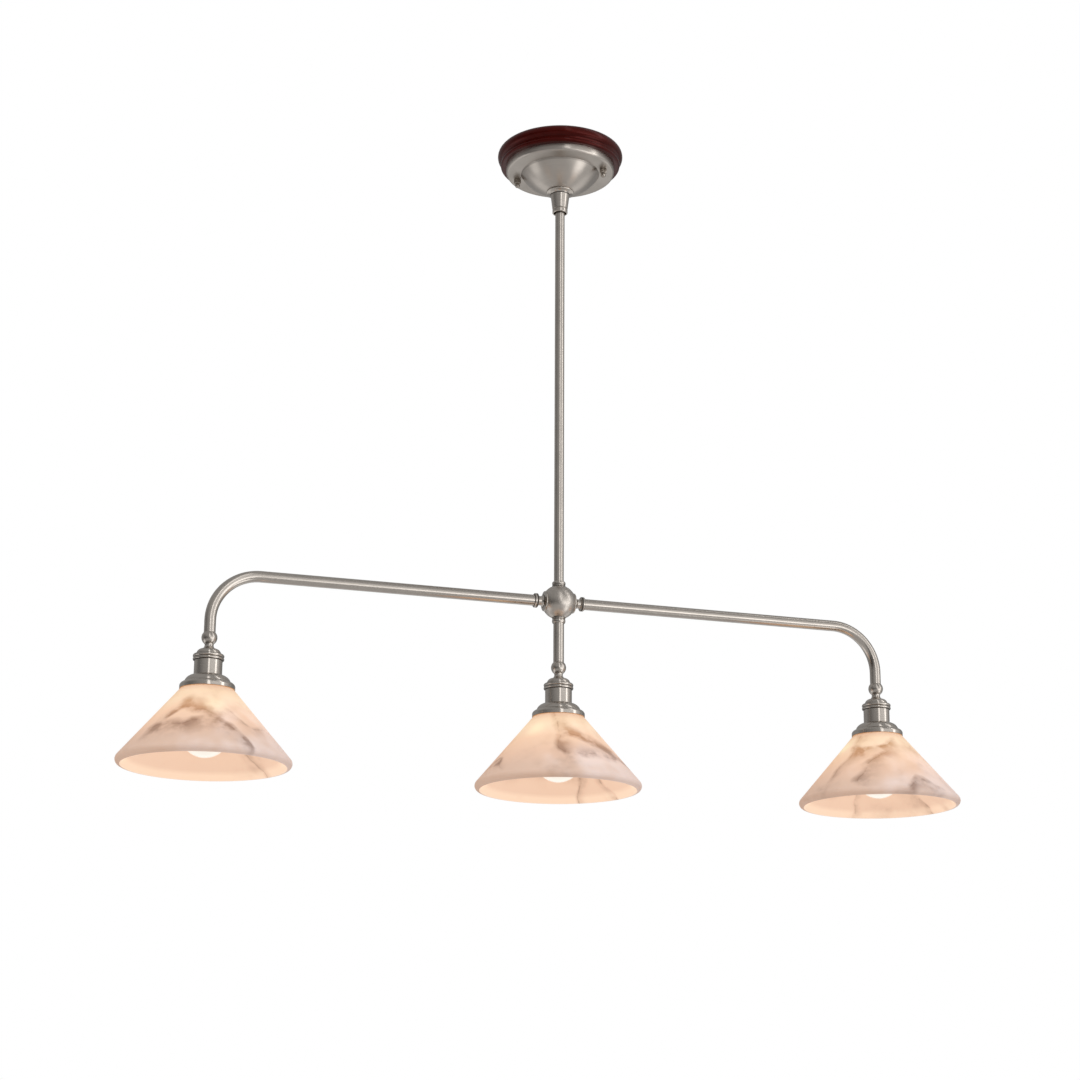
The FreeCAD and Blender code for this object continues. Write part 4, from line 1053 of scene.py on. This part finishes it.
LEFT_VEINS = (
    Vein(Run.ROUND, 0.5, -27.0, 1.3, (
        (-56, 0.30, 0.0), (-45, 0.335, 0.9), (-30, 0.36, 0.5), (-15, 0.375, 0.75), (0, 0.415, 0.5),
        (9, 0.43, 0.7), (18, 0.345, 0.8), (26, 0.235, 0.9), (31, 0.10, 1.0), (34, 0.03, 0.0)
    )),
    Vein(Run.ROUND, 0.3, 21.6, 1.2, (
        (-52, 0.42, 0.0), (-38, 0.50, 0.8), (-26, 0.63, 1.0), (-14, 0.60, 0.9), (0, 0.56, 0.6),
        (10, 0.50, 0.5), (20, 0.49, 0.0)
    )),
    Vein(Run.ROUND, 0.4, -16.2, 0.5, (
        (14, 0.62, 0.0), (26, 0.56, 0.5), (41, 0.35, 0.9), (58, 0.37, 0.4), (80, 0.30, 0.3),
        (100, 0.42, 0.0)
    )),
    Vein(Run.DOWN, 0.4, 24.3, 0.7, (
        (0.0, -92, 0.0), (0.2, -84, 0.7), (0.5, -98, 0.8), (0.8, -90, 0.6), (1.0, -96, 0.3)
    )),
    Vein(Run.DOWN, 0.4, -10.0, 0.5, (
        (0.0, 128, 0.6), (0.3, 140, 0.8), (0.6, 131, 0.6), (1.0, 150, 0.2)
    )),
    Vein(Run.ROUND, 0.4, -24.3, 0.9, (
        (-176, 0.55, 0.0), (-160, 0.50, 0.9), (-140, 0.62, 0.7), (-118, 0.40, 0.8),
        (-100, 0.44, 0.0)
    )),
)
CENTRE_VEINS = (
    Vein(Run.DOWN, 0.45, 16.2, 0.6, (
        (0.36, 3, 0.0), (0.45, 0, 0.4), (0.62, 2, 0.6), (0.78, -3, 0.8), (0.94, -6, 0.9),
        (1.0, -8, 0.6)
    )),
    Vein(Run.ROUND, 0.35, 18.9, 1.1, (
        (2, 0.62, 0.0), (10, 0.64, 0.8), (25, 0.60, 1.0), (34, 0.53, 0.8), (43, 0.47, 0.8),
        (56, 0.37, 0.8), (76, 0.22, 0.5), (92, 0.16, 0.0)
    )),
    Vein(Run.ROUND, 0.45, 24.3, 0.8, (
        (-6, 0.46, 0.0), (0, 0.42, 0.5), (7, 0.315, 1.0), (15, 0.32, 0.6), (25, 0.31, 0.9),
        (40, 0.315, 0.7), (55, 0.30, 0.8), (70, 0.34, 0.0)
    )),
    Vein(Run.ROUND, 0.4, -13.5, 0.8, (
        (-72, 0.22, 0.0), (-65, 0.27, 0.9), (-59, 0.30, 1.0), (-54, 0.25, 0.8), (-50, 0.20, 0.0)
    )),
    Vein(Run.ROUND, 0.35, 10.8, 0.5, (
        (-70, 0.20, 0.0), (-62, 0.19, 0.8), (-54, 0.215, 0.8), (-46, 0.13, 0.4), (-40, 0.08, 0.0)
    )),
    Vein(Run.DOWN, 0.5, -10.0, 0.5, (
        (0.0, 164, 0.9), (0.25, 158, 0.8), (0.55, 163, 0.7), (0.85, 150, 0.4), (1.0, 148, 0.0)
    )),
    Vein(Run.DOWN, 0.5, 10.0, 0.5, (
        (0.0, 129, 1.0), (0.2, 136, 0.8), (0.5, 127, 0.6), (0.8, 120, 0.0)
    )),
    Vein(Run.ROUND, 0.4, -24.3, 0.8, (
        (-170, 0.40, 0.0), (-150, 0.46, 0.8), (-125, 0.38, 0.9), (-100, 0.52, 0.6),
        (-80, 0.55, 0.0)
    )),
)
RIGHT_VEINS = (
    Vein(Run.DOWN, 0.45, 18.9, 0.8, (
        (0.05, -46, 0.0), (0.26, -42, 0.6), (0.44, -40, 0.6), (0.62, -33, 0.7), (0.76, -38, 1.0),
        (0.88, -36, 0.7), (1.0, -40, 0.7)
    )),
    Vein(Run.ROUND, 0.25, -18.9, 1.1, (
        (-36, 0.72, 0.0), (-24, 0.70, 0.9), (-5, 0.71, 1.0), (12, 0.76, 0.8), (24, 0.83, 0.7),
        (36, 0.86, 0.0)
    )),
    Vein(Run.DOWN, 0.5, 24.3, 0.8, (
        (0.03, -8, 0.0), (0.09, -13, 0.8), (0.17, -16, 1.0), (0.31, -11, 0.7), (0.44, -10, 0.8),
        (0.54, -1, 0.9), (0.62, 8, 0.5), (0.70, 16, 0.0)
    )),
    Vein(Run.ROUND, 0.5, -21.6, 1.0, (
        (20, 0.03, 0.0), (25, 0.09, 0.9), (32, 0.185, 1.0), (45, 0.12, 0.8), (56, 0.03, 0.0)
    )),
    Vein(Run.DOWN, 0.5, -10.0, 0.5, (
        (0.0, -159, 1.0), (0.2, -156, 0.8), (0.6, -164, 0.5), (0.9, -160, 0.0)
    )),
    Vein(Run.DOWN, 0.5, 10.0, 0.5, (
        (0.0, 134, 1.0), (0.25, 141, 0.7), (0.6, 133, 0.6), (0.9, 140, 0.0)
    )),
    Vein(Run.ROUND, 0.4, -21.6, 0.9, (
        (-170, 0.52, 0.0), (-150, 0.48, 0.7), (-128, 0.36, 0.9), (-105, 0.42, 0.7),
        (-85, 0.30, 0.0)
    )),
    Vein(Run.ROUND, 0.4, 21.6, 0.8, (
        (70, 0.60, 0.0), (95, 0.50, 0.8), (120, 0.56, 0.8), (150, 0.44, 0.6), (176, 0.40, 0.0)
    )),
)


def dress_shared() -> None:
    """Lay the finishes on the nodes that hold one piece for every light."""
    dress(GlazedPorcelain(), "shade_rings")
    dress(BRASS, "screw_shells", "centre_contacts")


@dataclass(frozen=True)
class Panel:
    """A soft bright or dark part of the studio's tent, as metal mirrors it.

    Attributes:
        turn: degrees to the right of the camera, seen from the pendant.
        half: half its width, in degrees.
        light: what it adds to the tent's own level, less than 0 for a black flag.
        low: lowest elevation, in degrees.
        high: highest elevation.
        soft: degrees over which its edges fade.
    """

    turn: float
    half: float
    light: float
    low: float
    high: float
    soft: float = 12.0


@dataclass(frozen=True)
class SoftBox:
    """A square lamp for the matt surfaces, which metal sees as a panel of the tent instead.

    Attributes:
        name: the lamp's name.
        turn: degrees to the right of the camera.
        reach: from the rod's axis to the lamp.
        height: the lamp's height.
        power: in watts.
        size: its width and height.
    """

    name: str
    turn: float
    reach: float
    height: float
    power: float
    size: float


@dataclass
class Studio:
    """Floor, tent, soft lights and camera.

    Attributes:
        camera_turn: degrees from -Y round to the camera.
        distance: from the rod's axis to the camera.
        camera_z: the camera's height.
        pitch: degrees that the camera looks up.
        aim: degrees that it looks to the left of the axis.
        roll: degrees that it leans.
        lens: focal length in millimetres on a 36 mm sensor.
        shift: vertical shift of the lens, in frame widths.
        sight: how far the camera sees.
        floor_z: the floor's height.
        floor_r: its radius.
        paper: the floor's colour.
        lift: what brings the floor to white for the camera, beside the light that falls on it.
        level: strength of the tent's light on matt surfaces.
        tent: strength of the tent as metal mirrors it, by degrees to the right of the camera.
        below: the same straight down.
        above: the same straight up.
        low_band: elevations, in degrees, between which the tent passes to its lower part.
        high_band: the same for its upper part.
        darkest: the tent's least strength.
        panels: the tent's bright parts and black flags.
        boxes: the soft lights.
        middle_z: the height that the soft lights face.
    """

    camera_turn: float = 17.86
    distance: float = 2.4764
    camera_z: float = -1.2588
    pitch: float = 13.672
    aim: float = 0.523
    roll: float = -0.302
    lens: float = 70.0
    shift: float = 0.10
    sight: float = 200.0
    floor_z: float = -2.4
    floor_r: float = 60.0
    paper: Colour = (0.80, 0.80, 0.80)
    lift: float = 0.48
    level: float = 0.62
    tent: tuple[tuple[float, float], ...] = (
        (-180, 0.30), (-140, 0.32), (-110, 0.34), (-90, 0.24), (-75, 0.17), (-60, 0.22),
        (-45, 0.30), (-20, 0.40), (8, 0.46), (20, 0.80), (60, 0.82), (90, 0.75),
        (110, 0.48), (135, 0.26), (160, 0.26), (180, 0.30),
    )
    below: float = 0.48
    above: float = 0.38
    low_band: tuple[float, float] = (-28.0, -12.0)
    high_band: tuple[float, float] = (12.0, 45.0)
    darkest: float = 0.03
    panels: tuple[Panel, ...] = (
        Panel(54.0, 22.0, 1.3, -21.0, -6.0, 6.0),
        Panel(15.0, 3.6, 1.35, 0.0, 62.0, 3.2),
        Panel(76.0, 4.0, 1.7, 0.0, 62.0, 3.4),
        Panel(74.0, 10.0, 1.4, -50.0, -36.0, 12.0),
        Panel(178.0, 55.0, 0.30, -42.0, -24.0, 6.0),
        Panel(-92.0, 10.0, 0.7, -36.0, -28.0, 14.0),
        Panel(-25.0, 40.0, -0.28, -14.0, -1.0, 8.0),
    )
    boxes: tuple[SoftBox, ...] = (
        SoftBox("key", 40.0, 2.4, 1.1, 38.0, 1.2),
        SoftBox("fill", -55.0, 2.6, 0.4, 16.0, 1.4),
    )
    middle_z: float = -0.45

    def build(self) -> None:
        """Make everything in the studio."""
        self.build_camera()
        self.build_world()
        self.build_floor()
        for box in self.boxes:
            self.build_soft_box(box)

    def spot(self, turn: float, reach: float, height: float) -> Vector:
        """A point by its turn from the camera, its reach from the rod's axis and its height."""
        angle = math.radians(turn - self.camera_turn)
        return Vector((math.sin(angle) * reach, -math.cos(angle) * reach, height))

    def build_camera(self) -> None:
        """The camera at the photograph's angle."""
        data = bpy.data.cameras.new("camera")
        data.lens = self.lens
        data.shift_y = self.shift
        data.clip_end = self.sight
        camera = bpy.data.objects.new("camera", data)
        yaw = math.radians(self.aim - self.camera_turn)
        look = Euler((math.radians(90.0 + self.pitch), 0.0, yaw)).to_matrix().to_4x4()
        lean = Matrix.Rotation(-math.radians(self.roll), 4, "Z")
        spot = self.spot(0.0, self.distance, self.camera_z)
        camera.matrix_world = Matrix.Translation(spot) @ look @ lean
        bpy.context.scene.collection.objects.link(camera)
        bpy.context.scene.camera = camera

    def tent_level(self, graph: Graph) -> Signal:
        """The tent's strength as metal mirrors it, the way that each ray goes.

        Args:
            graph: the world's graph.

        Returns:
            The strength.
        """
        way = graph.out(graph.add("TexCoord"), "Generated")
        x, y, z = graph.split(graph.mapped(way, (0.0, 0.0, math.radians(self.camera_turn))))
        azimuth = graph.maths("ARCTAN2", x, -y) * math.degrees(1.0)
        elevation = graph.maths("ARCSINE", z) * math.degrees(1.0)
        stops = [(turn_share(turn), (level,) * 3) for turn, level in self.tent]
        round_about = graph.split(graph.ramp(turn_share(azimuth), stops))[0]
        low = elevation.rise(*self.low_band, 1.0, 0.0)
        high = elevation.rise(*self.high_band)
        tent = round_about * (1.0 - low - high) + low * self.below + high * self.above
        for panel in self.panels:
            off = abs(azimuth - panel.turn)
            off = off.at_most(FULL_TURN - off)
            mask = off.rise(panel.half, panel.half + panel.soft, 1.0, 0.0)
            mask = mask * elevation.rise(panel.low - panel.soft, panel.low)
            mask = mask * elevation.rise(panel.high, panel.high + panel.soft, 1.0, 0.0)
            tent = tent + mask * panel.light
        return tent.at_least(self.darkest)

    def build_world(self) -> None:
        """A white backdrop for the eye and the glass, and a tent with panels for metal."""
        world = bpy.data.worlds.new("tent")
        world.use_nodes = True
        bpy.context.scene.world = world
        world.cycles.sampling_method = "NONE"
        graph = Graph(world.node_tree)
        tent = self.tent_level(graph)
        seen = graph.seen()
        glossy = graph.out(graph.add("LightPath"), "Is Glossy Ray")
        strength = self.level * (1.0 - glossy) + tent * glossy
        strength = strength * (1.0 - seen) + seen
        shader = graph.add("Background", None, {"Color": WHITE, "Strength": strength})
        graph.add("OutputWorld", None, {"Surface": graph.out(shader)})

    def build_floor(self) -> None:
        """A plain pale floor that keeps the pendant's soft shadow."""
        made = bmesh.new()
        bmesh.ops.create_circle(made, cap_ends=True, segments=96, radius=self.floor_r)
        bmesh.ops.translate(made, verts=made.verts, vec=(0.0, 0.0, self.floor_z))
        mesh = bpy.data.meshes.new("floor")
        made.to_mesh(mesh)
        made.free()
        floor = bpy.data.objects.new("floor", mesh)
        bpy.context.scene.collection.objects.link(floor)
        paper = bpy.data.materials.new("floor_paper")
        paper.use_nodes = True
        graph = Graph(paper.node_tree)
        matt = graph.out(graph.add("BsdfDiffuse", None, {"Color": self.paper}))
        lift = graph.add("Emission", None, {"Color": WHITE, "Strength": graph.seen() * self.lift})
        both = graph.out(graph.add("AddShader", None, {0: matt, 1: graph.out(lift)}))
        graph.add("OutputMaterial", None, {"Surface": both})
        mesh.materials.append(paper)
        floor.visible_glossy = False

    def build_soft_box(self, box: SoftBox) -> None:
        """A square lamp that faces the middle of the pendant.

        Args:
            box: the lamp's place, power and size.
        """
        data = bpy.data.lights.new(box.name, "AREA")
        data.shape = "SQUARE"
        data.size = box.size
        data.energy = box.power
        lamp = bpy.data.objects.new(box.name, data)
        spot = self.spot(box.turn, box.reach, box.height)
        way = spot - Vector((0.0, 0.0, self.middle_z))
        facing = way.to_track_quat("Z", "Y").to_matrix().to_4x4()
        lamp.matrix_world = Matrix.Translation(spot) @ facing
        lamp.visible_glossy = False
        bpy.context.scene.collection.objects.link(lamp)


def main() -> None:
    """Build the studio and dress the pendant."""
    logging.basicConfig(level=logging.INFO, format="%(name)s: %(message)s")
    bpy.context.scene.view_settings.view_transform = "Standard"
    Studio().build()
    Canopy().dress()
    Stem().dress()
    Arms().dress()
    Pendant("left", 8.2, (0.31, 0.12, 0.05), (10.0, 0.66, 20.0), LEFT_VEINS).dress()
    Pendant("centre", 17.9, (1.07, 0.45, 0.22), (-32.0, 0.74, 19.0), CENTRE_VEINS).dress()
    Pendant("right", 26.7, (2.13, 0.77, 0.41), (-62.0, 0.78, 16.0), RIGHT_VEINS).dress()
    dress_shared()


if __name__ == "__main__":
    main()
